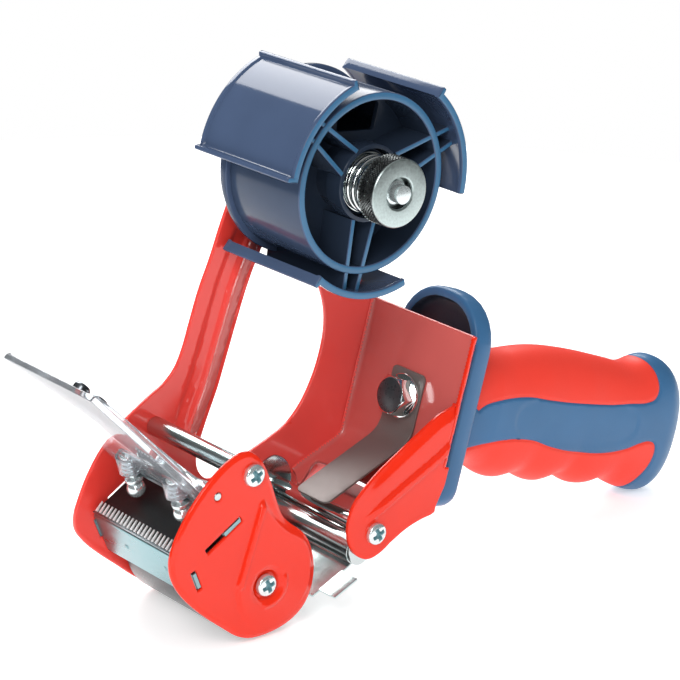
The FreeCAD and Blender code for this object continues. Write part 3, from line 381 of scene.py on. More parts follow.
def soft_profile(points, r=0.4, k=3):
    """Open (radius, height) outline with its corners eased."""
    pts = [(p[0], p[1], (p[2] if len(p) > 2 else r)) for p in points]
    return rounded(pts, closed=False)


def sweep(path, radius, n=12, cap=True, flat=None):
    P = np.array(path, float)
    T = np.gradient(P, axis=0)
    T /= np.linalg.norm(T, axis=1)[:, None]
    up = np.array([0, 0, 1.0]) if abs(T[0][2]) < 0.9 else np.array([1.0, 0, 0])
    N = np.cross(T[0], up)
    N /= np.linalg.norm(N)
    verts, faces = [], []
    for i, (p, t) in enumerate(zip(P, T)):
        N = N - t * (N @ t)
        N /= np.linalg.norm(N)
        B = np.cross(t, N)
        rr = radius[i] if hasattr(radius, "__len__") else radius
        for k in range(n):
            a = 2 * PI * k / n
            verts.append(p + rr * (math.cos(a) * N + math.sin(a) * B))
    m = len(P)
    for i in range(m - 1):
        for k in range(n):
            j = (k + 1) % n
            faces.append((i * n + k, i * n + j, (i + 1) * n + j, (i + 1) * n + k))
    if cap:
        faces.append(tuple(range(n))[::-1])
        faces.append(tuple((m - 1) * n + k for k in range(n)))
    return np.array(verts), faces


def join(*parts):
    V, F, off = [], [], 0
    for v, f in parts:
        V.append(np.asarray(v, float))
        F += [tuple(i + off for i in q) for q in f]
        off += len(v)
    return np.vstack(V), F


def add(name, geo, material, body, stands=(), angle=38.0, bevel=None, turn_out=True):
    v, f = geo
    me = bpy.data.meshes.new(name)
    me.from_pydata(((np.asarray(v, float) + SH) * 0.001).tolist(), [], [list(q) for q in f])
    me.validate()
    me.update()
    ob = bpy.data.objects.new(name, me)
    SC.collection.objects.link(ob)
    if turn_out:
        import bmesh
        bm = bmesh.new()
        bm.from_mesh(me)
        bmesh.ops.remove_doubles(bm, verts=bm.verts, dist=2e-6)
        bmesh.ops.recalc_face_normals(bm, faces=bm.faces)
        bm.to_mesh(me)
        bm.free()
    me.materials.append(material)
    me.polygons.foreach_set("use_smooth", [True] * len(me.polygons))
    me.set_sharp_from_angle(angle=math.radians(angle))
    if bevel:
        m = ob.modifiers.new("edge", "BEVEL")
        m.width = bevel * 0.001
        m.segments = 3
        m.limit_method = "ANGLE"
        m.angle_limit = math.radians(35)
        m.harden_normals = False
    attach(ob, body)
    if stands:
        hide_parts(*stands)
    return ob


# ------------------------------------------------------------------ materials
def new_mat(name):
    m = bpy.data.materials.new(name)
    m.use_nodes = True
    nt = m.node_tree
    for n in list(nt.nodes):
        nt.nodes.remove(n)
    out = nt.nodes.new("ShaderNodeOutputMaterial")
    b = nt.nodes.new("ShaderNodeBsdfPrincipled")
    nt.links.new(b.outputs[0], out.inputs[0])
    return m, nt, b


def noise(nt, scale, detail=3.0, rough=0.55, stretch=None):
    tc = nt.nodes.new("ShaderNodeTexCoord")
    src = tc.outputs["Object"]
    if stretch is not None:
        mp = nt.nodes.new("ShaderNodeMapping")
        mp.inputs["Scale"].default_value = stretch
        nt.links.new(src, mp.inputs[0])
        src = mp.outputs[0]
    n = nt.nodes.new("ShaderNodeTexNoise")
    n.inputs["Scale"].default_value = scale
    n.inputs["Detail"].default_value = detail
    n.inputs["Roughness"].default_value = rough
    nt.links.new(src, n.inputs["Vector"])
    return n


def ramp(nt, src, stops):
    r = nt.nodes.new("ShaderNodeValToRGB")
    el = r.color_ramp.elements
    while len(el) > 1:
        el.remove(el[-1])
    el[0].position = stops[0][0]
    el[0].color = stops[0][1]
    for p, c in stops[1:]:
        e = el.new(p)
        e.color = c
    nt.links.new(src, r.inputs[0])
    return r


def grey(x):
    return (x, x, x, 1.0)


def mul(c, k):
    return (c[0] * k, c[1] * k, c[2] * k, 1.0)


def bump(nt, b, src, strength, dist, extra=None):
    bp = nt.nodes.new("ShaderNodeBump")
    bp.inputs["Strength"].default_value = strength
    bp.inputs["Distance"].default_value = dist
    nt.links.new(src, bp.inputs["Height"])
    if extra is not None:
        nt.links.new(extra.outputs[0], bp.inputs["Normal"])
    nt.links.new(bp.outputs[0], b.inputs["Normal"])
    return bp


def enamel(name, color, dark=0.95, spec=0.5, haze=0.0):
    m, nt, b = new_mat(name)
    b.inputs["Specular IOR Level"].default_value = spec
    b.inputs["Coat Weight"].default_value = haze
    b.inputs["Coat Roughness"].default_value = 0.55
    n = noise(nt, 38.0, 3.0)
    r = ramp(nt, n.outputs[0], [(0.3, mul(color, dark)), (0.7, mul(color, 1.0))])
    nt.links.new(r.outputs[0], b.inputs["Base Color"])
    peel = noise(nt, 900.0, 2.0)
    bump(nt, b, peel.outputs[0], 0.03, 0.0002)
    rr = noise(nt, 160.0, 2.0)
    r2 = ramp(nt, rr.outputs[0], [(0.35, grey(0.10)), (0.65, grey(0.15))])
    nt.links.new(r2.outputs[0], b.inputs["Roughness"])
    return m


def metal(name, color, lo=0.12, hi=0.24, stretch=None, scale=500.0, b_strength=0.1, spread=0.9, aniso=0.0, metallic=1.0):
    m, nt, b = new_mat(name)
    b.inputs["Metallic"].default_value = metallic
    n = noise(nt, scale, 4.0, 0.6, stretch)
    r = ramp(nt, n.outputs[0], [(0.3, grey(lo)), (0.7, grey(hi))])
    nt.links.new(r.outputs[0], b.inputs["Roughness"])
    c = ramp(nt, n.outputs[0], [(0.3, mul(color, spread)), (0.7, mul(color, 1.0))])
    nt.links.new(c.outputs[0], b.inputs["Base Color"])
    if aniso:
        b.inputs["Anisotropic"].default_value = aniso
    bump(nt, b, n.outputs[0], b_strength, 0.0001)
    return m


def moulded(name, color, rough=0.4, coat=0.0, grain=1500.0, depth=0.12, vary=0.9, spec=0.5):
    m, nt, b = new_mat(name)
    b.inputs["Specular IOR Level"].default_value = spec
    b.inputs["Coat Weight"].default_value = coat
    b.inputs["Coat Roughness"].default_value = 0.12
    n = noise(nt, 45.0, 3.0)
    r = ramp(nt, n.outputs[0], [(0.3, mul(color, vary)), (0.7, mul(color, 1.0))])
    nt.links.new(r.outputs[0], b.inputs["Base Color"])
    g = noise(nt, grain, 2.0)
    r2 = ramp(nt, g.outputs[0], [(0.3, grey(rough * 0.9)), (0.7, grey(min(1.0, rough * 1.12)))])
    nt.links.new(r2.outputs[0], b.inputs["Roughness"])
    bump(nt, b, g.outputs[0], depth, 0.0001)
    return m


# The frame's red enamels are lit and shaded copies of one paint. This one is lighter and greyer than the ear and cheek
# enamel, and is painted reflection haze on the far plate.
M_RED = enamel("red_enamel_paint", (0.92, 0.050, 0.036), haze=0.6)
# Darker, greyer copy of the red enamel for the rear wall and floor: painted shade and reflection inside the frame.
M_RED_SHADED_INSIDE = enamel("red_enamel_painted_shade_inside", (0.62, 0.105, 0.092), haze=0.6)
# Lighter, greyer copy for the far plate's near-facing face behind the window: painted reflection haze.
M_RED_REFLECTION_HAZE = enamel("red_enamel_painted_reflection_haze", (0.95, 0.088, 0.074), haze=0.6)
M_REDC = enamel("red_enamel_cheek", (0.80, 0.026, 0.007), spec=0.42)
M_GUIDE = metal("guide_sheet", (0.62, 0.70, 0.70), 0.14, 0.22, scale=200.0, b_strength=0.0, spread=0.96)
M_ZINC = metal("zinc_plate", (0.60, 0.66, 0.66), 0.16, 0.30, scale=700.0)
M_ROD = metal("plated_tube", (0.60, 0.71, 0.71), 0.20, 0.26, scale=60.0, b_strength=0.0, spread=0.97)
M_CHROME = metal("bright_plate", (0.78, 0.84, 0.84), 0.03, 0.08, scale=300.0, b_strength=0.03, spread=0.97)
M_SCREW = metal("screw_plate", (0.78, 0.86, 0.87), 0.14, 0.24, scale=900.0, b_strength=0.06, metallic=0.75)
# Dark teal for the cross recesses of the screw heads: painted shade in the recesses.
M_RECESS_SHADE = metal("screw_recess_painted_shade", (0.16, 0.33, 0.37), 0.35, 0.50, scale=900.0, b_strength=0.05, metallic=0.2)
M_SHEET = metal("galvanised_sheet", (0.27, 0.42, 0.445), 0.24, 0.36, stretch=(1.0, 0.3, 1.0), scale=260.0, b_strength=0.06, spread=0.92)
M_BRACK = metal("bracket_zinc", (0.26, 0.30, 0.32), 0.22, 0.38, stretch=(1.0, 0.3, 1.0), scale=260.0, b_strength=0.08, spread=0.88)
M_BLADE = metal("ground_blade", (0.92, 0.93, 0.93), 0.30, 0.42, scale=900.0, b_strength=0.04, metallic=0.35)
M_LEAF = metal("spring_strip", (0.21, 0.185, 0.175), 0.42, 0.52, scale=500.0, b_strength=0.02, spread=0.95, metallic=0.45)
# Near-black metal for the chrome bolt head's front face: painted dark reflection.
M_BOLT_FACE_REFLECTION = metal("bolt_face_painted_dark_reflection", (0.045, 0.050, 0.056), 0.24, 0.36, scale=400.0, b_strength=0.03, metallic=0.3)
M_WIRE = metal("spring_wire", (0.80, 0.84, 0.84), 0.06, 0.14, scale=600.0, b_strength=0.04)
M_KNOB = metal("knob_zinc", (0.60, 0.70, 0.69), 0.30, 0.50, scale=1100.0, b_strength=0.45, spread=0.74)
# Dark copy of the knob zinc for the knurled side and the bore walls: painted shade.
M_KNURL_SHADE = metal("knob_knurl_painted_shade", (0.15, 0.16, 0.16), 0.22, 0.40, scale=800.0, b_strength=0.2, spread=0.6)
M_BLACK = moulded("black_plate", (0.014, 0.015, 0.016), 0.40, grain=900.0, depth=0.04, spec=0.3)
M_RUBBER = moulded("roller_rubber", (0.035, 0.038, 0.042), 0.30, coat=0.25, grain=1200.0, depth=0.1)
M_HUB = moulded("hub_blue", (0.066, 0.100, 0.182), 0.08, grain=700.0, depth=0.0, spec=0.30)
# Lighter, more saturated blue for the hub's near-facing faces: painted highlight.
M_HUB_LIT_EDGE = moulded("hub_blue_painted_lit_edge", (0.042, 0.150, 0.285), 0.24, grain=700.0, depth=0.0)
# Darker blue for the hub's boss, web and inside faces: painted shade.
M_HUB_SHADE_INSIDE = moulded("hub_blue_painted_shade_inside", (0.022, 0.034, 0.058), 0.24, grain=700.0, depth=0.0, spec=0.3)
# Darker blue for the barrel's outer wall: painted shade.
M_HUB_BARREL_SHADE = moulded("hub_blue_barrel_painted_shade", (0.046, 0.070, 0.124), 0.16, grain=700.0, depth=0.0, spec=0.2)
M_GRIPB = moulded("grip_blue", (0.036, 0.138, 0.295), 0.40, grain=1500.0, depth=0.08, spec=0.4)
# Near-black blue for the inside of the finger guard's cup: painted shade.
M_GRIP_CUP_SHADE = moulded("grip_blue_cup_painted_shade", (0.014, 0.020, 0.036), 0.45, grain=1500.0, depth=0.12)
M_GRIPR = moulded("grip_red", (0.84, 0.042, 0.022), 0.48, grain=1700.0, depth=0.08, vary=0.96, spec=0.35)
M_DARK = metal("dark_plate", (0.20, 0.22, 0.24), 0.18, 0.34, scale=700.0)


def clear(name):
    m, nt, b = new_mat(name)
    b.inputs["Base Color"].default_value = (0.78, 0.82, 0.86, 1)
    b.inputs["Transmission Weight"].default_value = 0.86
    b.inputs["IOR"].default_value = 1.46
    n = noise(nt, 60.0, 2.0)
    r = ramp(nt, n.outputs[0], [(0.3, grey(0.03)), (0.7, grey(0.07))])
    nt.links.new(r.outputs[0], b.inputs["Roughness"])
    w = noise(nt, 90.0, 2.0)
    bump(nt, b, w.outputs[0], 0.03, 0.0003)
    return m


M_CLEAR = clear("clear_moulding")

# ------------------------------------------------------------------ slots shared by both side plates
T1 = (math.cos(math.radians(32.0)), math.sin(math.radians(32.0)))
N1 = (-T1[1], T1[0])
T2, N2 = (0.39, -0.921), (-0.921, -0.39)


def along(s, d, o=(-63.6, -107.2)):
    return (o[0] + s * T1[0] + d * N1[0], o[1] + s * T1[1] + d * N1[1])


def front(s, d, o=(-75.1, -117.2)):
    return (o[0] + s * T2[0] + d * N2[0], o[1] + s * T2[1] + d * N2[1])


SLOT_A = rounded([along(-7.6, 1.05) + (0.3,), along(-7.6, -1.05) + (0.3,), along(8.7, -1.05) + (0.3,), along(8.7, 1.05) + (0.3,)])
SLOT_B = rounded([front(-0.4, -1.0) + (0.3,), front(-0.4, 1.0) + (0.3,), front(7.1, 1.0) + (0.3,), front(7.1, -1.0) + (0.3,)])

# ------------------------------------------------------------------ main frame
far_low = cr([(-18.6, -4.6), (-20.4, -9.2), (-23.0, -15.0), (-25.8, -22.0), (-29.6, -32.5), (-34.2, -43.6),
              (-37.8, -54.7), (-40.5, -63.2), (-43.6, -69.6), (-47.6, -73.7), (-52.6, -76.6),
              (-58.0, -79.9), (-63.6, -83.7), (-69.2, -88.4), (-74.3, -93.9), (-78.6, -100.6),
              (-82.0, -107.9), (-84.0, -114.2), (-83.6, -119.2), (-79.6, -124.8), (-73.4, -130.5),
              (-66.2, -136.3), (-59.4, -141.8), (-53.4, -145.6), (-48.0, -146.9), (-41.8, -146.4),
              (-35.6, -145.0), (-30.2, -142.8), (-25.6, -138.8), (-21.0, -135.4), (-12.0, -132.8),
              (-3.4, -131.6), (3.4, -130.2), (12.6, -125.2), (21.6, -121.2), (27.6, -119.9)], 1.3)
far_back = (line(far_low[-1], uv(1.5, -23.6), 1.3)[1:-1] + line(uv(1.5, -23.6), uv(1.5, -17.6), 1.3)
            + line(uv(1.5, -17.6), uv(-1.5, -17.6), 1.3)[1:-1] + line(uv(-1.5, -17.6), uv(-1.5, 28.9), 1.3))
far_top = cr([uv(-1.5, 28.9), (43.2, -51.4), (36.6, -36.0), (28.2, -20.6), (20.6, -8.4), (18.2, -3.2)], 1.3)[1:]
a0 = math.degrees(math.atan2(-3.2, 18.2))
top_arc = [(18.5 * math.cos(math.radians(a)), 18.5 * math.sin(math.radians(a))) for a in np.linspace(a0 + 4, 190, 44)]
FAR = far_low + far_back + far_top + top_arc
WINDOW = cr([(-9.9, -36.6), (-13.8, -45.6), (-17.6, -56.7), (-21.4, -68.4), (-25.2, -80.0), (-28.7, -88.6),
             (-31.6, -96.2), (-33.6, -103.4), (-32.6, -109.0), (-28.6, -112.9), (-23.6, -112.6),
             (-16.0, -109.4), (-8.9, -106.2), (-1.3, -103.2), (6.3, -99.3), (12.2, -93.2), (16.4, -86.0),
             (19.4, -78.4), (21.4, -69.4), (21.5, -62.0), (20.3, -56.0), (17.2, -48.0), (12.4, -37.6),
             (7.2, -28.6), (1.4, -25.0), (-5.0, -28.4)], 1.2, closed=True)
ARM = cr([(-4.0, -22.0), (-9.9, -36.6), (-13.8, -45.6), (-17.6, -56.7), (-21.4, -68.4), (-25.2, -80.0), (-28.7, -88.6),
          (-31.6, -96.2), (-33.6, -103.4)], 1.5)


def far_relief(a, b):
    p = np.stack([a, b], 1)
    d, s, side, total = seg_dist(p, ARM)
    w = smoothstep(2.0, 12.0, s) * (1 - smoothstep(total - 18.0, total - 3.0, s)) * (side < 0)
    h = 0.75 * smoothstep(1.9, 2.7, d) * (1 - smoothstep(5.6, 6.4, d))
    h -= 0.95 * smoothstep(6.8, 8.2, d) * (1 - smoothstep(12.0, 14.6, d))
    return h * w


far_holes = [WINDOW, circle(TUBE, 2.15, 28), circle(ROLL, 2.15, 28), circle(ROD, 2.15, 28), circle(HINGE, 1.5, 24),
             circle((0, 0), 4.1, 36), SLOT_A, SLOT_B]
far_plate = prism([FAR] + far_holes, 46.5, 48.0, r=0.45, grid=1.15, relief=far_relief,
                  rows_in=beside(ARM, [-1.9, -2.15, -2.45, -2.7, -4.1, -5.6, -5.85, -6.15, -6.4, -6.8, -7.2, -7.8, -8.2, -10.0, -12.0, -12.8, -13.8, -14.6], 1.5))

# rear wall and floor: one strip swept along the wall line, turned up into both sides
bend = uv(0.0, -22.2)
inner = rounded([uv(0.0, 29.0) + (0.0,), (bend[0], bend[1], 7.0), (4.6, -119.56, 0.0)], step=1.0, closed=False)
inner = np.array(inner)
seg_l = np.linalg.norm(np.diff(inner, axis=0), axis=1)
S_AT = np.concatenate([[0], np.cumsum(seg_l)])
S_END = float(S_AT[-1])
tan = np.gradient(inner, S_AT, axis=0)
tan /= np.linalg.norm(tan, axis=1)[:, None]
outn = np.stack([-tan[:, 1], tan[:, 0]], 1)
FY0, FY1, FR = -5.0, 45.0, 2.25


def web_map(s, p, y):
    s = np.clip(s, 0, S_END)
    px, pz = np.interp(s, S_AT, inner[:, 0]), np.interp(s, S_AT, inner[:, 1])
    nx, nz = np.interp(s, S_AT, outn[:, 0]), np.interp(s, S_AT, outn[:, 1])
    ln = np.hypot(nx, nz)
    nx, nz = nx / ln, nz / ln
    th = np.clip(np.where(p > FY1, (p - FY1) / FR, np.where(p < FY0, (p - FY0) / FR, 0.0)), -PI / 2, PI / 2)
    over = np.clip(np.abs(p - np.clip(p, FY0, FY1)) - FR * PI / 2, 0, None)
    yy = np.clip(p, FY0, FY1) + FR * np.sin(th)
    deep = 0.75 - FR * (1 - np.cos(th)) - over
    ny = np.sin(th)
    nn = np.cos(th)
    off = deep + y * nn
    return np.stack([px + nx * off, yy + y * ny, pz + nz * off], 1)


def s_of_x(x):
    """Arc position on the floor run for a given X."""
    fl = S_AT[-1] - (np.asarray(x, float) - 4.6) / abs(tan[-1][0])
    return fl


PA = FR * PI / 2
tip = [(17.9, -5.0), (17.9, 39.0), (17.5, 43.2), (15.0, 42.6), (11.0, 40.4), (6.2, 37.8), (5.0, 38.6), (7.6, 42.4), (9.0, 45.0)]
edge_pts = [(float(s_of_x(x)), y) for x, y in tip]
far_end = FY1 + PA
near_end = FY0 - PA
web_loop = rounded([(0.0, near_end, 0.8), (edge_pts[0][0], near_end), edge_pts[0], edge_pts[1] + (2.2,), edge_pts[2] + (1.0,), edge_pts[3] + (1.0,), edge_pts[4],
                    edge_pts[5] + (0.5,), edge_pts[6] + (0.7,), edge_pts[7], edge_pts[8], (float(s_of_x(9.4)), far_end), (0.0, far_end)], step=1.2)
web_hole = circle((29.0, MID), 4.2, 36)
web = prism([web_loop, web_hole], -0.75, 0.75, r=0.4, grid=1.3, xf=web_map)

# near ear
ear_top = cr([uv(-0.6, 4.9), (30.0, -84.6), (20.0, -90.1), (11.3, -95.1), (3.0, -100.1), (-3.4, -104.5), (-7.6, -108.4), (-9.8, -113.2),
              (-10.4, -118.4), (-9.0, -124.0), (-5.6, -128.2), (-0.6, -130.5), (4.6, -129.4),
              (10.0, -126.2), (16.6, -123.0), (23.0, -121.2), (27.4, -120.5), (28.9, -119.9)], 1.0)
ear_loop = ear_top + line(ear_top[-1], (29.4, -117.6), 1.0)[1:] + line((29.4, -117.6), (33.0, -110.9), 1.0)[1:] + line((33.0, -110.9), uv(1.5, -17.6), 1.0)[1:] \
    + line(uv(1.5, -17.6), uv(-1.5, -17.6), 1.0)[1:] + line(uv(-1.5, -17.6), uv(-1.5, 4.6), 1.0)[1:]
EAR_RIB = [(34.0, -97.0), (31.1, -99.0), (12.2, -108.4), (-1.5, -115.6)]
EAR_EDGE = ear_top[2:]


def ear_relief(a, b):
    p = np.stack([a, b], 1)
    d, s, side, total = seg_dist(p, EAR_RIB)
    w = 1 - smoothstep(total - 9.0, total, s) * 0.85
    h = 1.2 * (1 - smoothstep(1.1, 2.0, d)) * w
    d2, s2, side2, tot2 = seg_dist(p, EAR_EDGE[:60])
    lip = 1 - smoothstep(0.4, 4.6, d2)
    h -= 1.1 * lip * (1 - smoothstep(34.0, 52.0, s2))
    return h


ear = prism([ear_loop, circle(ROD, 2.15, 28)], -8.0, -6.5, r=0.45, grid=0.95, relief=ear_relief,
            rows_in=beside(EAR_RIB, [-2.0, -1.7, -1.4, -1.1, 0.0, 1.1, 1.4, 1.7, 2.0], 1.3) + beside(EAR_EDGE[:60], [-0.9, -2.0, -3.2, -4.6], 1.3) + beside(EAR_EDGE[:60], [0.9, 2.0, 3.2, 4.6], 1.3))
mf = add("main_frame_shell", join(far_plate, web, ear), M_REDC, "frame", ["main_frame"], angle=50)
mf.data.materials.append(M_RED)
mf.data.materials.append(M_RED_SHADED_INSIDE)
mf.data.materials.append(M_RED_REFLECTION_HAZE)
# Frame faces take the enamel copies. The far plate takes the greyer one, which is painted reflection haze. Its
# near-facing face towards the rear and bottom takes the pinker one, also painted reflection haze. The wall and floor
# take the darker one, which is painted shade and reflection. The ear keeps the cheek enamel.
for pz in mf.data.polygons:
    q_ = np.array(pz.center) * 1000.0 - SH
    if q_[1] > 46.3:
        pz.material_index = 1
        if pz.normal.y < -0.5 and q_[0] > (8.0 if q_[2] > -100.0 else -28.0):
            pz.material_index = 3
    elif pz.center.y > (-5.2 + SH[1]) * 0.001:
        pz.material_index = 2

# ------------------------------------------------------------------ near cheek
CHEEK = cr([(-53.2, -80.2), (-49.2, -83.0), (-46.0, -87.6), (-43.3, -94.0), (-40.9, -100.4), (-38.4, -105.8),
            (-34.9, -109.4), (-30.9, -112.5), (-27.6, -116.2), (-25.4, -121.0), (-24.2, -126.6),
            (-24.3, -132.0), (-25.6, -136.9), (-28.2, -141.0), (-32.6, -144.3), (-38.6, -146.4),
            (-45.2, -147.2), (-51.0, -146.8), (-56.0, -144.8), (-62.4, -140.1), (-69.2, -134.7),
            (-75.2, -129.2), (-80.4, -123.2), (-83.6, -117.0), (-84.3, -111.4), (-82.6, -105.4),
            (-79.6, -99.8), (-75.9, -94.5), (-71.5, -89.5), (-66.6, -85.1), (-61.6, -81.8),
            (-57.2, -80.1)], 0.9, closed=True)
PAD = cr([(-47.6, -98.6), (-45.4, -101.6), (-41.6, -106.4), (-36.8, -110.8), (-31.0, -114.8), (-27.8, -119.0), (-26.4, -125.0), (-26.8, -132.0),
          (-29.6, -138.0), (-34.4, -142.2), (-41.0, -144.2), (-48.0, -143.6), (-53.6, -139.0), (-56.6, -132.0), (-56.9, -126.4), (-53.0, -113.6), (-49.2, -101.8)], 0.8, closed=True)
RIDGE = [(-48.0, -100.4), (-56.4, -126.2)]
CRES = [(ROLL[0] + 7.3 * math.cos(math.radians(q)), ROLL[1] + 7.3 * math.sin(math.radians(q))) for q in range(10, -97, -6)]


def cheek_relief(a, b):
    p = np.stack([a, b], 1)
    d, s, side, total = seg_dist(p, PAD, closed=True)
    sd = np.where(inside(p, PAD), d, -d)
    h = 0.85 * smoothstep(-0.9, 0.9, sd) * (1 - 0.8 * smoothstep(-4.0, -13.0, b + 128.0))
    d2, s2, _, t2 = seg_dist(p, RIDGE)
    h += 0.9 * (1 - smoothstep(0.75, 1.55, d2))
    r = np.hypot(a - ROLL[0], b - ROLL[1])
    h = h * smoothstep(4.6, 7.6, r) - 1.0 * (1 - smoothstep(4.4, 5.5, r))
    d3, _, _, _ = seg_dist(p, CRES)
    h += 0.7 * (1 - smoothstep(0.3, 1.5, d3)) * smoothstep(5.2, 6.2, r)
    d4, _, _, _ = seg_dist(p, CHEEK, closed=True)
    h -= 0.5 * (1 - smoothstep(0.3, 1.6, d4))
    return h


cheek_rows = beside(RIDGE, [-1.55, -1.35, -1.15, -0.95, -0.75, 0.0, 0.75, 0.95, 1.15, 1.35, 1.55], 1.0) \
    + [circle(ROLL, q, 56) + [circle(ROLL, q, 56)[0]] for q in (4.4, 4.7, 5.0, 5.3, 5.6, 6.1, 6.7, 7.3, 7.9, 8.5)] \
    + [circle(TUBE, q, 40) + [circle(TUBE, q, 40)[0]] for q in (4.4, 4.8)]
cheek = prism([CHEEK, SLOT_A, SLOT_B, circle(TUBE, 2.15, 28), circle(ROLL, 2.15, 28), circle(HINGE, 1.5, 24)],
              -8.0, -6.5, r=0.5, grid=0.62, relief=cheek_relief, rows_in=cheek_rows)
add("near_cheek_plate", cheek, M_REDC, "frame", ["near_cheek"], angle=50)


# ------------------------------------------------------------------ screws
RECESS = []


def pan_head(c, y_seat, out, turn):
    """Pan head on a side plate; out is -1 on the near side and +1 on the far side."""
    R = 3.85

    def rel(a, b):
        x, z = a - c[0], b - c[1]
        r = np.hypot(x, z)
        dome = 0.75 * (1 - np.clip(r / R, 0, 1) ** 2.4)
        ca, sa = math.cos(turn), math.sin(turn)
        p, q = x * ca + z * sa, -x * sa + z * ca
        arm1 = (1 - smoothstep(0.5, 0.8, np.abs(p))) * (1 - smoothstep(2.1, 2.5, np.abs(q)))
        arm2 = (1 - smoothstep(0.5, 0.8, np.abs(q))) * (1 - smoothstep(2.1, 2.5, np.abs(p)))
        mid = 1 - smoothstep(0.9, 1.4, r)
        return dome - 1.3 * np.maximum(np.maximum(arm1, arm2), mid * 0.9)

    def xf(a, b, y):
        h = rel(a, b)
        k = np.clip((y + 0.2) / 1.5, 0, 1)
        yy = y_seat + out * (y + h * k)
        return np.stack([a, yy, b], 1)
    ca, sa = math.cos(turn), math.sin(turn)
    rows = []
    for w_, l_ in ((0.5, 2.1), (0.8, 2.5)):
        k = 0.5 * (w_ + 0.8) if w_ < 0.6 else w_
        pl = [(l_, -w_), (l_, w_), (w_, w_), (w_, l_), (-w_, l_), (-w_, w_), (-l_, w_), (-l_, -w_), (-w_, -w_), (-w_, -l_), (w_, -l_), (w_, -w_), (l_, -w_)]
        rp = []
        for u0, u1 in zip(pl[:-1], pl[1:]):
            rp += line(u0, u1, 0.3, last=False)
        rp.append(pl[0])
        rows.append([(c[0] + x * ca - z * sa, c[1] + x * sa + z * ca) for x, z in rp])
    RECESS.append((c, out, turn))
    return prism([circle(c, R, 56)], 0.0, 1.55, r=0.05, r2=0.6, grid=0.26, xf=xf, rows_in=rows)


def shank(c, y0, y1):
    return revolve([(0, y0), (1.9, y0), (1.9, y1), (0, y1)], (c[0], 0, c[1]), n=24)


screws = [pan_head(TUBE, -8.0, -1, 0.5), pan_head(ROD, -8.0, -1, 0.45), pan_head(ROLL, -7.4, -1, 0.35)]
screws += [pan_head(TUBE, 48.0, 1, 0.2), pan_head(ROD, 48.0, 1, 0.9), pan_head(ROLL, 48.0, 1, 1.2)]
screws += [shank(c, -7.9, 0.5) for c in (TUBE, ROD, ROLL)] + [shank(c, 40.0, 47.9) for c in (TUBE, ROD, ROLL)]
fs = add("frame_screw_set", join(*screws), M_SCREW, "frame", ["frame_screws"], angle=42)
fs.data.materials.append(M_RECESS_SHADE)
# Faces inside each cross recess take the dark recess colour: painted shade.
for pz in fs.data.polygons:
    q_ = np.array(pz.center) * 1000.0 - SH
    if -7.2 < q_[1] < 48.3:
        continue
    for c_, out_, turn_ in RECESS:
        if (out_ > 0) != (q_[1] > 20.0):
            continue
        x_, z_ = q_[0] - c_[0], q_[2] - c_[1]
        if math.hypot(x_, z_) > 3.0:
            continue
        p_, r_ = x_ * math.cos(turn_) + z_ * math.sin(turn_), -x_ * math.sin(turn_) + z_ * math.cos(turn_)
        if (abs(p_) < 0.74 and abs(r_) < 2.4) or (abs(r_) < 0.74 and abs(p_) < 2.4) or math.hypot(x_, z_) < 1.1:
            pz.material_index = 1

# ------------------------------------------------------------------ cross tube, tie rod, roller
tube = revolve(soft_profile([(1.95, -6.5, 0), (3.3, -6.5, 0.5), (3.3, 46.5, 0.5), (1.95, 46.5, 0)]), (TUBE[0], 0, TUBE[1]), n=72, closed=True)
add("cross_tube_turned", tube, M_ROD, "frame", ["cross_tube"])
rod = revolve(soft_profile([(1.95, -5.5, 0), (3.0, -5.5, 0.5), (3.0, 45.5, 0.5), (1.95, 45.5, 0)]), (ROD[0], 0, ROD[1]), n=72, closed=True)
add("tie_rod_turned", rod, M_CHROME, "frame", ["tie_rod"])
RR = 19.45
slv = revolve(soft_profile([(RR - 2.6, -4.9, 0.2), (RR, -4.9, 0.9), (RR, 44.9, 0.9), (RR - 2.6, 44.9, 0.2)]), (ROLL[0], 0, ROLL[1]), n=128, closed=True)
add("roller_sleeve_tube", slv, M_RUBBER, "roller", ["roller_sleeve"])
core = revolve(soft_profile([(4.06, -5.5, 0.2), (8.0, -5.5, 0.4), (8.0, -3.2, 0.5), (14.6, -3.2, 0.5), (14.6, -4.9, 0.3), (RR - 2.62, -4.9, 0.3),
                             (RR - 2.62, 44.9, 0.3), (14.6, 44.9, 0.3), (14.6, 43.2, 0.5), (8.0, 43.2, 0.5), (8.0, 45.5, 0.4), (4.06, 45.5, 0.2)]),
               (ROLL[0], 0, ROLL[1]), n=96, closed=True)
spokes = []
for k in range(6):
    a = 2 * PI * k / 6
    ca, sa = math.cos(a), math.sin(a)
    for y0, y1 in ((-4.7, -3.0), (43.0, 44.7)):
        lp = [(ROLL[0] + r * ca - o * sa, ROLL[1] + r * sa + o * ca) for r, o in ((7.6, -0.8), (15.0, -0.8), (15.0, 0.8), (7.6, 0.8))]
        spokes.append(prism([lp], y0, y1, r=0.3))
add("roller_core_moulding", join(core, *spokes), M_BLACK, "roller", ["roller_core"])

# ------------------------------------------------------------------ blade holder, bed plate, blade


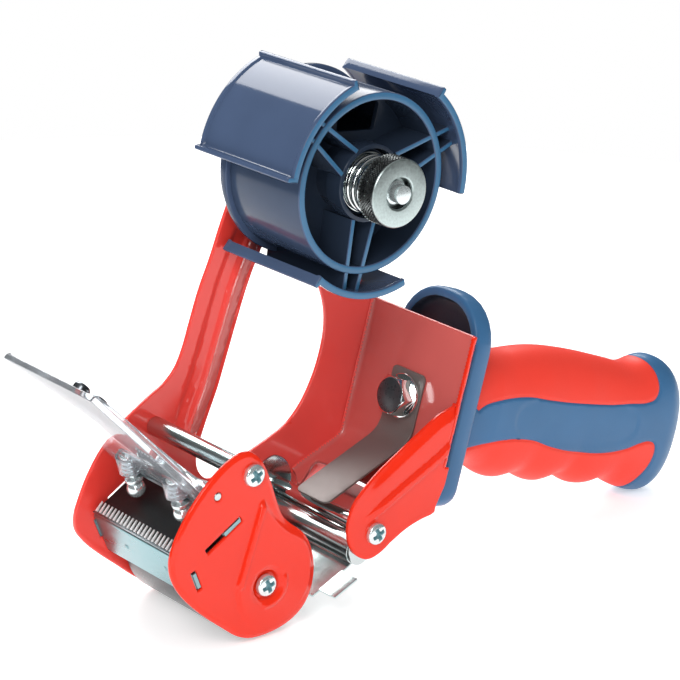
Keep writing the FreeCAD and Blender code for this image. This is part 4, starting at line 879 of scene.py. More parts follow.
def strip_loop(pts, thick, side=1.0):
    """Closed outline of a bent strip."""
    P = [np.array(p[:2], float) for p in pts]
    R = [p[2] if len(p) > 2 else 0.0 for p in pts]
    norms = []
    for a, b in zip(P[:-1], P[1:]):
        d = (b - a) / np.linalg.norm(b - a)
        norms.append(np.array([-d[1], d[0]]) * side)
    off = []
    for i in range(len(P)):
        if i == 0:
            off.append(P[0] + norms[0] * thick)
        elif i == len(P) - 1:
            off.append(P[-1] + norms[-1] * thick)
        else:
            m = norms[i - 1] + norms[i]
            off.append(P[i] + m * (thick / (0.5 * float(m @ m))))
    out = [(p[0], p[1], r) for p, r in zip(P, R)]
    for i in range(len(P) - 1, -1, -1):
        r = R[i]
        if 0 < i < len(P) - 1 and r > 0:
            turn = (norms[i - 1][0] * norms[i][1] - norms[i - 1][1] * norms[i][0]) * side
            r = max(0.15, r - thick if turn > 0 else r + thick)
        out.append((off[i][0], off[i][1], r))
    return rounded(out)


bend_pt = along(-15.3, 0.55)
hold = prism([strip_loop([along(8.6, 0.55), bend_pt + (1.2,), front(12.6, 0.55)], 1.1, 1.0)], -6.2, 46.2, r=0.2)
tabs = [prism([rounded([along(0.8, 0.78), along(0.8, -0.78), along(8.2, -0.78), along(8.2, 0.78)])], -7.9, 47.9, r=0.15),
        prism([rounded([front(0.4, -0.8), front(0.4, 0.62), front(6.4, 0.62), front(6.4, -0.8)])], -7.9, 47.9, r=0.15),
        prism([rounded([front(-0.3, -0.9), front(-0.3, 0.9), front(7.0, 0.9), front(7.0, -0.9)])], 46.6, 47.8, r=0.1)]
dots = []
for yy in (31.0, 9.0):
    c = front(5.0, 0.55)
    dots.append(revolve([(0, 0.45), (0.5, 0.4), (0.9, 0.2), (1.1, -0.1), (0, -0.1)], (c[0], yy, c[1]), axis=(N2[0], 0, N2[1]), n=20))
add("blade_holder_sheet", join(hold, *tabs, *dots), M_SHEET, "frame", ["blade_holder"])
bed = prism([rounded([along(-14.2, 0.56) + (0.1,), along(8.2, 0.56) + (0.1,), along(8.2, 2.16) + (0.5,), along(-14.2, 2.16) + (0.3,)])], -4.9, 44.9, r=0.35)
add("tape_bed_moulding", bed, M_BLACK, "frame", ["tape_bed_plate"])
PITCH, teeth = 1.97, 25
pts = [(-4.6, -15.4), (-4.6, -14.8)]
y = -4.6
for k in range(teeth):
    pts.append((y + 0.22 * PITCH, -14.6))
    pts.append((y + 0.42 * PITCH, -10.9))
    pts.append((y + 0.60 * PITCH, -10.9))
    pts.append((y + 0.78 * PITCH, -14.6))
    y += PITCH
pts += [(y, -14.8), (y, -15.4)]


def blade_map(s, p, y):
    # s runs across the tape, p up the bed, y is the thickness; the points lean off the bed
    lean = np.clip((p + 14.4) / 3.5, 0, 1) * 1.2
    d = 2.2 + y + lean
    return np.stack([-63.6 + p * T1[0] + d * N1[0], s, -107.2 + p * T1[1] + d * N1[1]], 1)


blade = prism([pts], 0.0, 0.55, r=0.0, xf=blade_map)
bl = add("cutting_blade_strip", blade, M_BLADE, "frame", ["cutting_blade"], angle=25)
# The blade's base band below the teeth takes the dark bracket zinc: painted dark reflection on the same steel strip.
bl.data.materials.append(M_BRACK)
for pz in bl.data.polygons:
    q_ = np.array(pz.center) * 1000.0 - SH
    if (q_[0] + 63.6) * T1[0] + (q_[2] + 107.2) * T1[1] < -14.62:
        pz.material_index = 1

# ------------------------------------------------------------------ leaf spring
lf = np.array(rounded([uv(-0.42, 9.4) + (0.0,), uv(-0.42, -14.2) + (9.4,), (-4.0, -116.2, 0.0)], step=1.0, closed=False))
lf_s = np.concatenate([[0], np.cumsum(np.linalg.norm(np.diff(lf, axis=0), axis=1))])
lf_t = np.gradient(lf, lf_s, axis=0)
lf_t /= np.linalg.norm(lf_t, axis=1)[:, None]
lf_n = np.stack([-lf_t[:, 1], lf_t[:, 0]], 1)


def leaf_map(s, p, y):
    px, pz = np.interp(s, lf_s, lf[:, 0]), np.interp(s, lf_s, lf[:, 1])
    nx, nz = np.interp(s, lf_s, lf_n[:, 0]), np.interp(s, lf_s, lf_n[:, 1])
    return np.stack([px + nx * y, p, pz + nz * y], 1)


L = float(lf_s[-1])
leaf = prism([rounded([(0.0, 11.5, 2.0), (L, 11.5, 2.6), (L, 28.5, 2.6), (0.0, 28.5, 2.0)], step=1.4), circle((9.4, MID), 4.2, 32)],
             -0.4, 0.4, r=0.12, grid=1.8, xf=leaf_map)
add("leaf_spring_strip", leaf, M_LEAF, "frame", ["leaf_spring"], angle=50)

# ------------------------------------------------------------------ guide plate
BEAD = (-3.2, -127.8)
gp = []
gp.append(prism([strip_loop([(-22.3, -139.5), (-5.2, -131.55, 3.4), (-4.2, -123.2)], 1.0, -1.0)], -4.9, 44.9, r=0.2))
gp.append(revolve(soft_profile([(3.7, -4.9, 0.2), (4.85, -4.9, 0.4), (4.85, 44.9, 0.4), (3.7, 44.9, 0.2)]), (BEAD[0], 0, BEAD[1]), n=72, closed=True))
gp.append(prism([rounded([(-3.5, -132.4), (23.0, -120.3), (22.4, -119.3), (-3.5, -131.4)])], -4.9, 44.9, r=0.2))
lug = cr([(8.2, -120.4), (7.4, -116.2), (4.8, -112.2), (0.2, -109.9), (-4.6, -111.4), (-7.6, -115.6), (-8.2, -120.4)], 0.8) \
    + line((-8.2, -120.4), (-8.0, -127.8), 1.0)[1:] + cr([(-8.0, -127.8), (-6.9, -130.6), (-4.8, -132.2), (-2.4, -132.5)], 0.8)[1:] \
    + line((-2.4, -132.5), (7.4, -127.9), 1.0)[1:] + line((7.4, -127.9), (8.2, -120.4), 1.0)[1:-1]
gp.append(prism([lug, circle(ROD, 2.15, 28)], -6.4, -5.5, r=0.25))
gp.append(prism([lug, circle(ROD, 2.15, 28)], 45.5, 46.4, r=0.25))
foot = [(-2.4, -131.75), (6.6, -127.6), (6.3, -126.95), (-2.7, -131.1)]
gp.append(prism([foot], -5.6, -4.8, r=0.1))
gp.append(prism([foot], 44.8, 45.6, r=0.1))
gp.append(prism([strip_loop([(-19.2, -138.0), (-9.6, -133.5)], 1.0, -1.0)], -12.9, -4.5, r=0.2))
add("guide_plate_sheet", join(*gp), M_GUIDE, "frame", ["guide_plate"])

# ------------------------------------------------------------------ tape hub
WINGS = (139.0, 19.0, -101.0)
hub = []
hub.append(prism([circle((0, 0), 30.6, 144), circle((0, 0), 28.0, 144)], 0.0, 42.0, r=0.5))
hub.append(prism([circle((0, 0), 32.6, 144), circle((0, 0), 29.6, 144)], 36.2, 38.6, r=0.5))
web_open = rounded([(-3.4, 14.6, 1.2), (12.6, 13.4, 1.2), (14.6, 22.6, 1.2), (-2.2, 26.6, 1.2)])
hub.append(prism([circle((0, 0), 28.4, 144), web_open, circle((0, 0), 4.06, 40)], 15.0, 17.0, r=0.25))
hub.append(prism([circle((0, 0), 28.4, 144), circle((0, 0), 11.0, 60)], 39.6, 41.2, r=0.25))
hub.append(revolve(soft_profile([(4.06, 6.0, 0.3), (8.6, 6.0, 0.6), (11.2, 4.1, 0.3), (11.2, 43.0, 0.5), (4.06, 43.0, 0.3)]), (0, 0, 0), n=96, closed=True))
hub.append(revolve(soft_profile([(11.75, 0.6, 0.3), (13.2, 0.6, 0.5), (13.2, 8.0, 0.3), (11.75, 8.0, 0.1)]), (0, 0, 0), n=96, closed=True))
RO, RI = 37.35, 35.9


def wing(w, half, lips):
    """Curved wing with standing lips at the given ends and a thicker rim along both sides."""
    def end(tall):
        if tall is None:
            return [(0.0, RO - 0.75), (0.12, RO - 0.4), (0.45, RO - 0.12), (0.9, RO), (1.4, RO), (1.9, RO), (2.4, RO), (2.9, RO), (3.2, RO)]
        return [(0.0, tall - 0.55), (0.22, tall - 0.15), (0.55, tall), (1.8, tall), (2.2, tall - 0.15), (2.45, tall - 0.6), (2.6, RO + 0.75 * (tall - RO) - 0.6), (2.75, RO + 0.35), (3.1, RO + 0.1)]
    outer = [(w - half + a, q) for a, q in end(lips[0])]
    outer += [(t, RO) for t in np.linspace(w - half + 3.7, w + half - 3.7, 46)]
    outer += [(w + half - a, q) for a, q in end(lips[1])[::-1]]

    def loop(rim):
        lo = []
        for t, q in outer:
            qq = q + 0.6 * rim if q <= RO else max(q, RO + 0.6 * rim)
            lo.append((qq * math.cos(math.radians(t)), qq * math.sin(math.radians(t))))
        li = [((RI - 0.35 * rim) * math.cos(math.radians(t)), (RI - 0.35 * rim) * math.sin(math.radians(t))) for t, q in outer[::-1]]
        return lo + li

    def inset(pts, q):
        a = np.array(pts)
        e1, e2 = a - np.roll(a, 1, 0), np.roll(a, -1, 0) - a
        e1 /= np.maximum(1e-9, np.linalg.norm(e1, axis=1))[:, None]
        e2 /= np.maximum(1e-9, np.linalg.norm(e2, axis=1))[:, None]
        n1, n2 = np.stack([-e1[:, 1], e1[:, 0]], 1), np.stack([-e2[:, 1], e2[:, 0]], 1)
        m = n1 + n2
        m /= np.maximum(0.5, np.sum(m * n1, 1))[:, None]
        s_ = 1.0 if ring_area(pts) > 0 else -1.0
        return a + m * q * s_
    rr = 0.4
    lay = [(-4.7 + rr * (1 - math.cos(t)), rr * (1 - math.sin(t)), 1.0) for t in np.linspace(0, PI / 2, 4)]
    lay += [(-3.3, 0.0, 1.0), (-3.05, 0.0, 0.85), (-2.85, 0.0, 0.4), (-2.65, 0.0, 0.0), (20.0, 0.0, 0.0), (42.8, 0.0, 0.0), (43.05, 0.0, 0.5), (43.3, 0.0, 1.0)]
    lay += [(44.9 - rr * (1 - math.sin(t)), rr * (1 - math.cos(t)), 1.0) for t in np.linspace(0, PI / 2, 4)]
    verts, faces = [], []
    n = 2 * len(outer)
    for y_, q, rim in lay:
        verts += [(p[0], y_, p[1]) for p in inset(loop(rim), q)]
    for i in range(len(lay) - 1):
        faces += [(i * n + k, i * n + (k + 1) % n, (i + 1) * n + (k + 1) % n, (i + 1) * n + k) for k in range(n)]
    m = len(outer)
    for base in (0, (len(lay) - 1) * n):
        faces += [(base + k, base + k + 1, base + n - 2 - k, base + n - 1 - k) for k in range(m - 1)]
    return np.array(verts), faces


for w in WINGS:
    a = math.radians(w)
    ca, sa = math.cos(a), math.sin(a)
    for sg in (-1, 1):
        def loc(r, o):
            return (r * ca - o * sa, r * sa + o * ca)
        i0, i1, hf = 4.9 * sg, 2.7 * sg, 0.8
        start = 12.4
        fi = i0 + (i1 - i0) * (start - 8.0) / 28.6
        lp = [loc(start, fi - hf), loc(36.4, i1 - hf), loc(36.4, i1 + hf), loc(start, fi + hf)]
        hub.append(prism([lp], 0.3, 41.3, r=0.35))
        # gusset from the barrel's rim to the wing, set a little back from the edge
    hub.append(wing(w, 31.0, {139.0: (39.2, 40.0), 19.0: (None, 39.7), -101.0: (39.6, None)}[w]))
hb = add("tape_hub_moulding", join(*hub), M_HUB, "hub", ["tape_hub"], angle=40)
hb.data.materials.append(M_HUB_LIT_EDGE)
hb.data.materials.append(M_HUB_SHADE_INSIDE)
hb.data.materials.append(M_HUB_BARREL_SHADE)
# Hub faces sorted by place and facing. Boss and inside faces take painted shade, and the barrel wall takes painted
# shade. Near-facing faces take a painted highlight.
for pz in hb.data.polygons:
    c_ = np.array(pz.center) * 1000.0 - SH
    rad = math.hypot(c_[0], c_[2])
    if rad < 13.3:
        pz.material_index = 2
    elif 30.2 < rad < 33.0 and abs(pz.normal.y) < 0.6 and 1.0 < c_[1] < 41.0:
        pz.material_index = 3
    elif pz.normal.y < -0.72 and c_[1] < 9.0:
        pz.material_index = 1
    elif rad < 28.3 and c_[1] > 5.0 and (rad > 14.0 or pz.normal.y < -0.7):
        pz.material_index = 2

# ------------------------------------------------------------------ brake: cup, spring, knob
cup = revolve(soft_profile([(4.1, 3.6, 0.1), (10.35, 3.6, 0.2), (10.4, 2.75, 0.3), (9.2, 2.7, 0.4), (8.0, 1.2, 0.4), (4.1, 1.0, 0.2)]), (0, 0, 0), n=96, closed=True)
add("brake_cup_turned", cup, M_CHROME, "frame", ["brake_cup"])
path = []
for k in range(0, 181):
    t = k / 180.0
    a = 2 * PI * 2.6 * t + 0.6
    yy = -5.15 + 6.9 * t
    path.append((9.2 * math.cos(a), yy, 9.2 * math.sin(a)))
add("brake_spring_coil", sweep(path, 0.85, 16), M_WIRE, "frame", ["brake_spring"], angle=60)


def knurl(a, h):
    if not (-13.1 < h < -6.8):
        return 0.0
    n = 60
    p = (n * a / (2 * PI) + h * 0.85) % 1.0
    q = (n * a / (2 * PI) - h * 0.85) % 1.0
    return -0.40 * max(abs(p - 0.5) < 0.17, abs(q - 0.5) < 0.17)


prof = [(4.06, -6.1), (11.0, -6.1), (11.5, -6.5)] + [(11.68, -6.8 - 0.15 * k) for k in range(43)] + [(11.5, -13.6), (11.2, -13.95), (10.8, -14.1)]
body_k = revolve(prof + [(5.9, -14.1), (5.45, -13.8), (5.3, -13.4), (5.3, -11.0), (4.06, -10.9)], (0, 0, 0), n=480, closed=True, wave=knurl)
kn = add("brake_knob_turned", body_k, M_KNURL_SHADE, "knob", ["brake_knob"], angle=28)
kn.data.materials.append(M_KNOB)
# Only the knob's flat faces and back keep the zinc; the knurled side and bore walls take the dark copy, painted shade.
for pz in kn.data.polygons:
    if abs(pz.normal.y) > 0.8 or pz.center.y < (-13.6 + SH[1]) * 0.001:
        pz.material_index = 1

# ------------------------------------------------------------------ grip
TOP = [(14.0, 22.0), (20.0, 20.6), (26.0, 19.6), (33.0, 19.2), (41.4, 19.6), (47.0, 20.6), (54.0, 21.6), (62.0, 22.1), (71.0, 22.0),
       (82.0, 21.3), (93.0, 20.2), (99.5, 19.5), (104.0, 18.9), (108.0, 18.9), (112.0, 19.7), (116.0, 21.4),
       (120.0, 22.5), (124.5, 22.0), (128.8, 20.2), (132.6, 17.4), (135.7, 14.1), (138.4, 10.0), (140.2, 5.0), (141.3, -1.5)]
BOT = [(14.0, -23.4), (20.0, -22.2), (26.0, -21.4), (32.4, -21.6), (37.0, -23.4), (41.0, -26.0), (44.8, -27.3), (49.0, -27.6), (53.0, -26.8),
       (57.0, -25.6), (59.5, -25.5), (63.0, -27.0), (67.0, -28.2), (71.0, -28.4), (75.5, -27.2), (79.5, -25.5), (82.3, -25.0),
       (85.5, -26.6), (89.5, -28.3), (93.5, -28.8), (98.0, -28.4), (102.5, -27.0), (106.5, -26.2), (110.0, -26.8),
       (114.5, -28.6), (119.5, -29.9), (124.5, -30.7), (128.6, -30.5), (132.2, -28.8), (135.2, -25.8),
       (137.9, -21.2), (140.0, -15.0), (141.3, -8.0)]


def table_curve(tab):
    c = np.array(cr(tab, 0.5))
    return c


TC, BC = table_curve(TOP), table_curve(BOT)


def v_top(u):
    return float(np.interp(u, TC[:, 0], TC[:, 1]))


def v_bot(u):
    return float(np.interp(u, BC[:, 0], BC[:, 1]))


def grip_half(u):
    w = 14.6
    if u < 34.0:
        w -= 2.2 * (34.0 - u) / 20.0
    if u > 126.0:
        t = min(1.0, (u - 126.0) / 13.6)
        w *= math.sqrt(max(0.0, 1.0 - t * t))
    return w


def grip_point(u, a):
    vt, vb = v_top(u), v_bot(u)
    hw = grip_half(u)
    cz, hh = 0.5 * (vt + vb), 0.5 * (vt - vb)
    ex = 2.0 / 2.35
    ca, sa = math.cos(a), math.sin(a)
    y = MID + hw * math.copysign(abs(ca) ** ex, ca)
    v = cz + hh * math.copysign(abs(sa) ** ex, sa)
    return (u, y, v)


US = list(np.arange(10.0, 128.0, 0.8)) + list(128 + 13.25 * np.sin(np.linspace(0, PI / 2, 26)))
NA = 132
gv = []
for u in US:
    for k in range(NA):
        gv.append(grip_point(min(u, 141.25), 2 * PI * (k + 0.5) / NA))
gv = np.array(gv)
tris = []
rows = len(US)
for i in range(rows - 1):
    for k in range(NA):
        j = (k + 1) % NA
        a, b, c, d = i * NA + k, i * NA + j, (i + 1) * NA + j, (i + 1) * NA + k
        tris += [(a, b, c), (a, c, d)]
end_c = gv[(rows - 1) * NA:].mean(0)
gv = np.vstack([gv, end_c[None], gv[:NA].mean(0)[None]])
tris += [((rows - 1) * NA + k, (rows - 1) * NA + (k + 1) % NA, rows * NA) for k in range(NA)]
tris += [((k + 1) % NA, k, rows * NA + 1) for k in range(NA)]
tris = np.array(tris)

top_zone = cr([(24.2, -0.6), (26.9, 1.7), (31.5, 3.5), (38.6, 5.0), (48.7, 5.9), (59.5, 5.3), (70.2, 4.9), (81.1, 4.9),
               (93.1, 5.1), (102.9, 5.9), (112.6, 6.7), (116.6, 8.4), (118.4, 12.0), (117.7, 17.0), (115.3, 22.6), (114.1, 27.0)], 0.8) \
    + [(114.1, 33.0), (20.0, 33.0), (20.0, 4.0)]
bot_zone = cr([(21.6, -17.2), (26.5, -15.0), (33.3, -12.5), (40.4, -10.6), (47.9, -9.9), (55.9, -10.4), (64.5, -12.2),
               (75.8, -13.7), (86.8, -14.1), (97.6, -13.4), (106.6, -11.6), (112.6, -9.2), (117.4, -8.1), (121.0, -9.0),
               (122.6, -12.6), (122.2, -18.4), (120.2, -25.4), (118.6, -34.0)], 0.8) + [(118.6, -40.0), (20.0, -40.0)]


def zone_sd(v, zone):
    p = v[:, [0, 2]]
    d, _, _, _ = seg_dist(p, zone, closed=True)
    return np.where(inside(p, zone), d, -d)


def split_at(V, T, val, level):
    """Cuts triangles along val == level."""
    V, val = list(map(tuple, V)), list(val)
    seen, out = {}, []

    def cross(i, j):
        key = (i, j) if i < j else (j, i)
        if key not in seen:
            t = (level - val[i]) / (val[j] - val[i])
            seen[key] = len(V)
            V.append(tuple(V[i][k] + t * (V[j][k] - V[i][k]) for k in range(3)))
            val.append(level)
        return seen[key]
    for tri in T:
        s = [val[i] - level for i in tri]
        pos = [x > 1e-9 for x in s]
        neg = [x < -1e-9 for x in s]
        if not (any(pos) and any(neg)):
            out.append(tuple(tri))
            continue
        poly = []
        for k in range(3):
            i, j = tri[k], tri[(k + 1) % 3]
            poly.append(i)
            if (s[k] > 1e-9 and s[(k + 1) % 3] < -1e-9) or (s[k] < -1e-9 and s[(k + 1) % 3] > 1e-9):
                poly.append(cross(i, j))
        hi = [p for p in poly if val[p] >= level - 1e-12]
        lo = [p for p in poly if val[p] <= level + 1e-12]
        for part in (hi, lo):
            for k in range(1, len(part) - 1):
                if len({part[0], part[k], part[k + 1]}) == 3:
                    out.append((part[0], part[k], part[k + 1]))
    return np.array(V), np.array(out), np.array(val)


def vertex_normals(V, T):
    n = np.zeros_like(V)
    fn = np.cross(V[T[:, 1]] - V[T[:, 0]], V[T[:, 2]] - V[T[:, 0]])
    for k in range(3):
        np.add.at(n, T[:, k], fn)
    return n / np.maximum(1e-12, np.linalg.norm(n, axis=1))[:, None]


def grip_space(V):
    V = np.asarray(V, float)
    return np.stack([WX + V[:, 0] * UX + V[:, 2] * VX, V[:, 1], WZ + V[:, 0] * UZ + V[:, 2] * VZ], 1)


sd_t, sd_b = zone_sd(gv, top_zone), zone_sd(gv, bot_zone)
sd = np.maximum(sd_t, sd_b)
V, T, val = gv, tris, sd
for lev in (-0.9, -0.4, 0.0, 0.1, 0.5, 1.0, 1.8):
    V, T, val = split_at(V, T, val, lev)
N = vertex_normals(V, T)
cen = gv[:rows * NA].mean(0)
if float(np.mean(np.sum(N * (V - np.array([70.0, MID, 0.0])), 1))) < 0:
    T = T[:, ::-1]
    N = -N
ramp_v = np.where(val <= 0.0, -0.45 * smoothstep(-0.9, -0.0, val), 0)
# shallow oval panel on both flanks of the hard core
PANEL = [(76.0 + 33.0 * math.copysign(abs(math.cos(a)) ** 0.77, math.cos(a)), -2.2 + 9.4 * math.copysign(abs(math.sin(a)) ** 0.77, math.sin(a)))
         for a in np.linspace(0, 2 * PI, 72, endpoint=False)]
ramp_v = ramp_v - 0.34 * smoothstep(-0.7, 0.7, zone_sd(V, PANEL)) * smoothstep(5.0, 8.0, np.abs(V[:, 1] - MID))
core_v = V + N * np.where(val > 0.05, -2.3, ramp_v)[:, None]
skin = [(core_v, [tuple(t) for t in T])]
for nm, zone_fn, slot_node in (("top", top_zone, "grip_insert_top"), ("bottom", bot_zone, "grip_insert_bottom")):
    zsd = zone_sd(V, zone_fn)
    keepf = (val[T] >= -1e-6).all(1) & (zsd[T].mean(1) > 0)
    TT = T[keepf]
    used = np.unique(TT)
    back = {o: i for i, o in enumerate(used)}
    A = V[used]
    An = N[used]
    dv = val[used]
    lift = -0.5 * (1 - smoothstep(0.0, 1.1, dv))
    outer_v = A + An * lift[:, None]
    inner_v = A - An * 2.25
    f_o = [tuple(back[i] for i in t) for t in TT]
    n0 = len(used)
    f_i = [tuple(back[i] + n0 for i in t[::-1]) for t in TT]
    count = {}
    for t in f_o:
        for a, b in ((t[0], t[1]), (t[1], t[2]), (t[2], t[0])):
            count[(a, b)] = count.get((a, b), 0) + 1
    side_f = [(b, a, a + n0, b + n0) for (a, b) in count if (b, a) not in count]
    geo = (grip_space(np.vstack([outer_v, inner_v])), f_o + f_i + side_f)
    add("grip_insert_%s_moulding" % nm, geo, M_GRIPR, "frame", [slot_node], angle=50)


# finger guard: stadium cup open to the front
def guard_loop(half, top, bot, rt, rb, u):
    pts = rounded([(MID - half, bot, rb), (MID + half, bot, rb), (MID + half, top, rt), (MID - half, top, rt)], step=1.6)
    return pts


def loft(rings):
    verts, faces = [], []
    n = len(rings[0])
    for r in rings:
        verts += r
    for i in range(len(rings) - 1):
        for k in range(n):
            j = (k + 1) % n
            faces.append((i * n + k, i * n + j, (i + 1) * n + j, (i + 1) * n + k))
    faces.append(tuple(range(n))[::-1])
    faces.append(tuple((len(rings) - 1) * n + k for k in range(n)))
    return np.array(verts), faces


def even(loop, n=180):
    a = np.array(loop + loop[:1])
    s = np.concatenate([[0], np.cumsum(np.linalg.norm(np.diff(a, axis=0), axis=1))])
    t = np.linspace(0, s[-1], n, endpoint=False)
    return np.stack([np.interp(t, s, a[:, 0]), np.interp(t, s, a[:, 1])], 1)


def ring(inset, u, rt=18.5, rb=8.0):
    half, top, bot = 20.6 - inset, 39.9 - inset * 1.1, -36.0 + inset
    l = even(guard_loop(half, top, bot, max(1.0, rt - inset), max(1.0, rb - inset), u))
    return [(u, p[0], p[1]) for p in l]


G0, G1 = 8.0, 17.5
rings = [ring(7.5, 13.2), ring(5.2, 12.9), ring(4.2, 12.2), ring(3.7, 11.0), ring(3.4, 9.2), ring(3.1, 8.4), ring(2.7, 8.06), ring(1.4, 8.0), ring(0.7, 8.1),
         ring(0.25, 8.5), ring(0.0, 9.3), ring(0.0, 12.0), ring(0.15, 14.6), ring(0.7, 16.0), ring(1.7, 17.0), ring(3.2, 17.5), ring(9.0, 17.5)]
guard = loft(rings)
guard = (grip_space(guard[0]), guard[1])
pillar = revolve(soft_profile([(4.25, 1.6, 0.2), (10.5, 1.6, 0.4), (10.5, 14.0, 0.4), (4.25, 14.0, 0.2)]), (0, 0, 0), axis=(0, 0, 1), n=64, closed=True)
pv = pillar[0]
pillar = (grip_space(np.stack([pv[:, 2], MID + pv[:, 0], pv[:, 1]], 1)), pillar[1])
# neck: the grip flares into the guard's back face
neck = []
for k, u in enumerate(np.linspace(13.0, 22.5, 14)):
    f = 2.6 * (1 - (u - 13.0) / 9.5) ** 2.2
    ringp = []
    for q in range(96):
        a = 2 * PI * q / 96
        uu, yy, vv = grip_point(max(u, 14.0), a)
        vt, vb = v_top(max(u, 14.0)), v_bot(max(u, 14.0))
        ringp.append((u, MID + (yy - MID) * (1 + f / 13.5), 0.5 * (vt + vb) + (vv - 0.5 * (vt + vb)) * (1 + 0.55 * f / 21.0)))
    neck.append(ringp)
neck = loft(neck)
neck = (grip_space(neck[0]), neck[1])
hc = add("handle_core_moulding", join((grip_space(skin[0][0]), skin[0][1]), guard, pillar, neck), M_GRIPB, "frame", ["handle_core"], angle=44)
hc.data.materials.append(M_GRIP_CUP_SHADE)
# Faces inside the finger guard's cup take the near-black blue: painted shade.
for pz in hc.data.polygons:
    q_ = np.array(pz.center) * 1000.0 - SH
    du, dv, dy = (q_[0] - WX) * UX + (q_[2] - WZ) * UZ, (q_[0] - WX) * VX + (q_[2] - WZ) * VZ, q_[1] - MID
    if 8.35 < du < 13.6 and abs(dy) < 17.7 and -33.2 < dv < 21.4 + math.sqrt(max(0.0, 15.6 ** 2 - max(0.0, abs(dy) - 2.1) ** 2)):
        pz.material_index = 1

# ------------------------------------------------------------------ flap
FT, FN = (0.70710678, -0.70710678), (0.70710678, 0.70710678)
TIP = (-112.1, -51.9)


def flap_pt(s_, d_):
    return (TIP[0] + s_ * FT[0] + d_ * FN[0], TIP[1] + s_ * FT[1] + d_ * FN[1])


AX, AN, PL = (0.283, -0.959), (0.959, 0.283), (-71.4, -93.9)


def plunge(a_, c_):
    return (PL[0] + a_ * AX[0] + c_ * AN[0], PL[1] + a_ * AX[1] + c_ * AN[1])


def flap_map(s, p, y):
    return np.stack([TIP[0] + s * FT[0] + y * FN[0], p, TIP[1] + s * FT[1] + y * FN[1]], 1)


notch = []
for yy in (7.0, 33.0):
    notch.append([(51.0, yy - 3.3), (51.0, yy + 3.3)])
out_flap = [(-1.45, -5.0, 1.2), (-1.45, 45.0, 1.2), (62.6, 45.0, 0.4), (62.6, 36.3), (52.2, 36.3, 2.6), (52.2, 29.7, 2.6), (62.6, 29.7), (62.6, 10.3), (52.2, 10.3, 2.6), (52.2, 3.7, 2.6), (62.6, 3.7), (62.6, -5.0, 0.4)]
plate = prism([rounded(out_flap, step=3.0)], -1.0, 1.0, r=0.35, xf=flap_map)
rib = line(flap_pt(-0.4, 1.02), flap_pt(62.4, 1.02), 3.0) \
    + cr([flap_pt(*q) for q in ((64.0, 1.5), (65.1, 4.2), (63.6, 6.65), (60.8, 6.95), (57.6, 5.9), (53, 4.4), (44, 3.5), (32, 2.9), (20, 2.6), (8, 2.2), (-0.4, 1.6))], 0.9)
hole = circle(HINGE, 1.46, 24)
ribs = [prism([rib, hole], -5.0, -3.4, r=0.3), prism([rib, hole], 43.4, 45.0, r=0.3)]
bosses = []
for yy in (7.0, 33.0):
    shoe = [(yy + 4.3 * math.sin(t), -4.3 * math.cos(t)) for t in np.linspace(-1.85, 1.85, 34)] \
        + [(yy + 3.4 * math.sin(t), -3.4 * math.cos(t)) for t in np.linspace(1.93, -1.93, 30)]

    def boss_map(a_, c_, y_):
        return np.stack([PL[0] + y_ * AX[0] + c_ * AN[0], a_, PL[1] + y_ * AX[1] + c_ * AN[1]], 1)
    bosses.append(prism([shoe], -4.3, 2.0, r=0.2, xf=boss_map))
fl = add("flap_plate_moulding", join(plate, *ribs, *bosses), M_CLEAR, "flap", ["flap_plate"])

leg2 = prism([rounded([flap_pt(46.0, 1.04) + (0.3,), flap_pt(60.4, 1.04), flap_pt(60.4, 2.15), flap_pt(46.0, 2.15) + (0.3,)])], 11.6, 28.4, r=0.2)
shelf = prism([rounded([plunge(3.75, 1.9), plunge(4.75, 1.9), plunge(4.75, 5.4), plunge(2.6, 6.4), plunge(1.0, 6.4), plunge(1.0, 5.2), plunge(3.75, 4.2)])], 1.5, 38.5, r=0.2)
knuckle = revolve([(1.5, 11.6), (2.5, 11.6), (2.6, 11.8), (2.6, 28.2), (2.5, 28.4), (1.5, 28.4)], (HINGE[0], 0, HINGE[1]), n=40, closed=True)
add("flap_bracket_sheet", join(leg2, shelf, knuckle), M_BRACK, "flap", ["flap_bracket"])
st, coils = [], []
for yy in (7.0, 33.0):
    o = plunge(0.0, 0.0)
    ax = (AX[0], 0.0, AX[1])
    prof = soft_profile([(0, -4.6, 0), (2.9, -4.6, 0.5), (2.9, -3.6, 0.3), (1.5, -3.5, 0.1), (1.5, 4.8, 0.1), (3.1, 4.8, 0.3), (3.1, 6.2, 0.4), (1.6, 6.4, 0.2)]) \
        + [(3.2 * math.sin(t), 9.2 - 3.2 * math.cos(t)) for t in np.linspace(0.62, PI, 22)]
    prof[-1] = (0.0, 12.4)
    st.append(revolve(prof, (o[0], yy, o[1]), axis=ax, n=48))
    w = np.array(ax)
    a1 = np.array([0.0, 1.0, 0.0])
    b1 = np.cross(w, a1)
    pth = []
    for k in range(0, 201):
        t = k / 200.0
        ang = 2 * PI * 4.2 * t
        hh = -3.0 + 6.2 * t
        pth.append(np.array([o[0], yy, o[1]]) + w * hh + 2.62 * (math.cos(ang) * a1 + math.sin(ang) * b1))
    coils.append(sweep(pth, 0.46, 10))
add("press_stud_pins", join(*st), M_SCREW, "flap", ["press_studs"])
add("press_stud_coils", join(*coils), M_WIRE, "flap", ["press_stud_springs"], angle=60)
heads = []
for s_, yy, hgt in ((6.0, 12.0, 3.4), (8.6, 4.4, 2.6)):
    p0 = flap_pt(s_, 1.02)
    heads.append(revolve(soft_profile([(0, hgt, 0), (2.2, hgt, 0.6), (2.9, hgt - 0.9, 0.5), (2.9, 0.0, 0.1), (0, 0.0, 0)]), (p0[0], yy, p0[1]), axis=(FN[0], 0, FN[1]), n=40))
add("flap_stud_heads", join(*heads), M_DARK, "flap", ["flap_studs"])
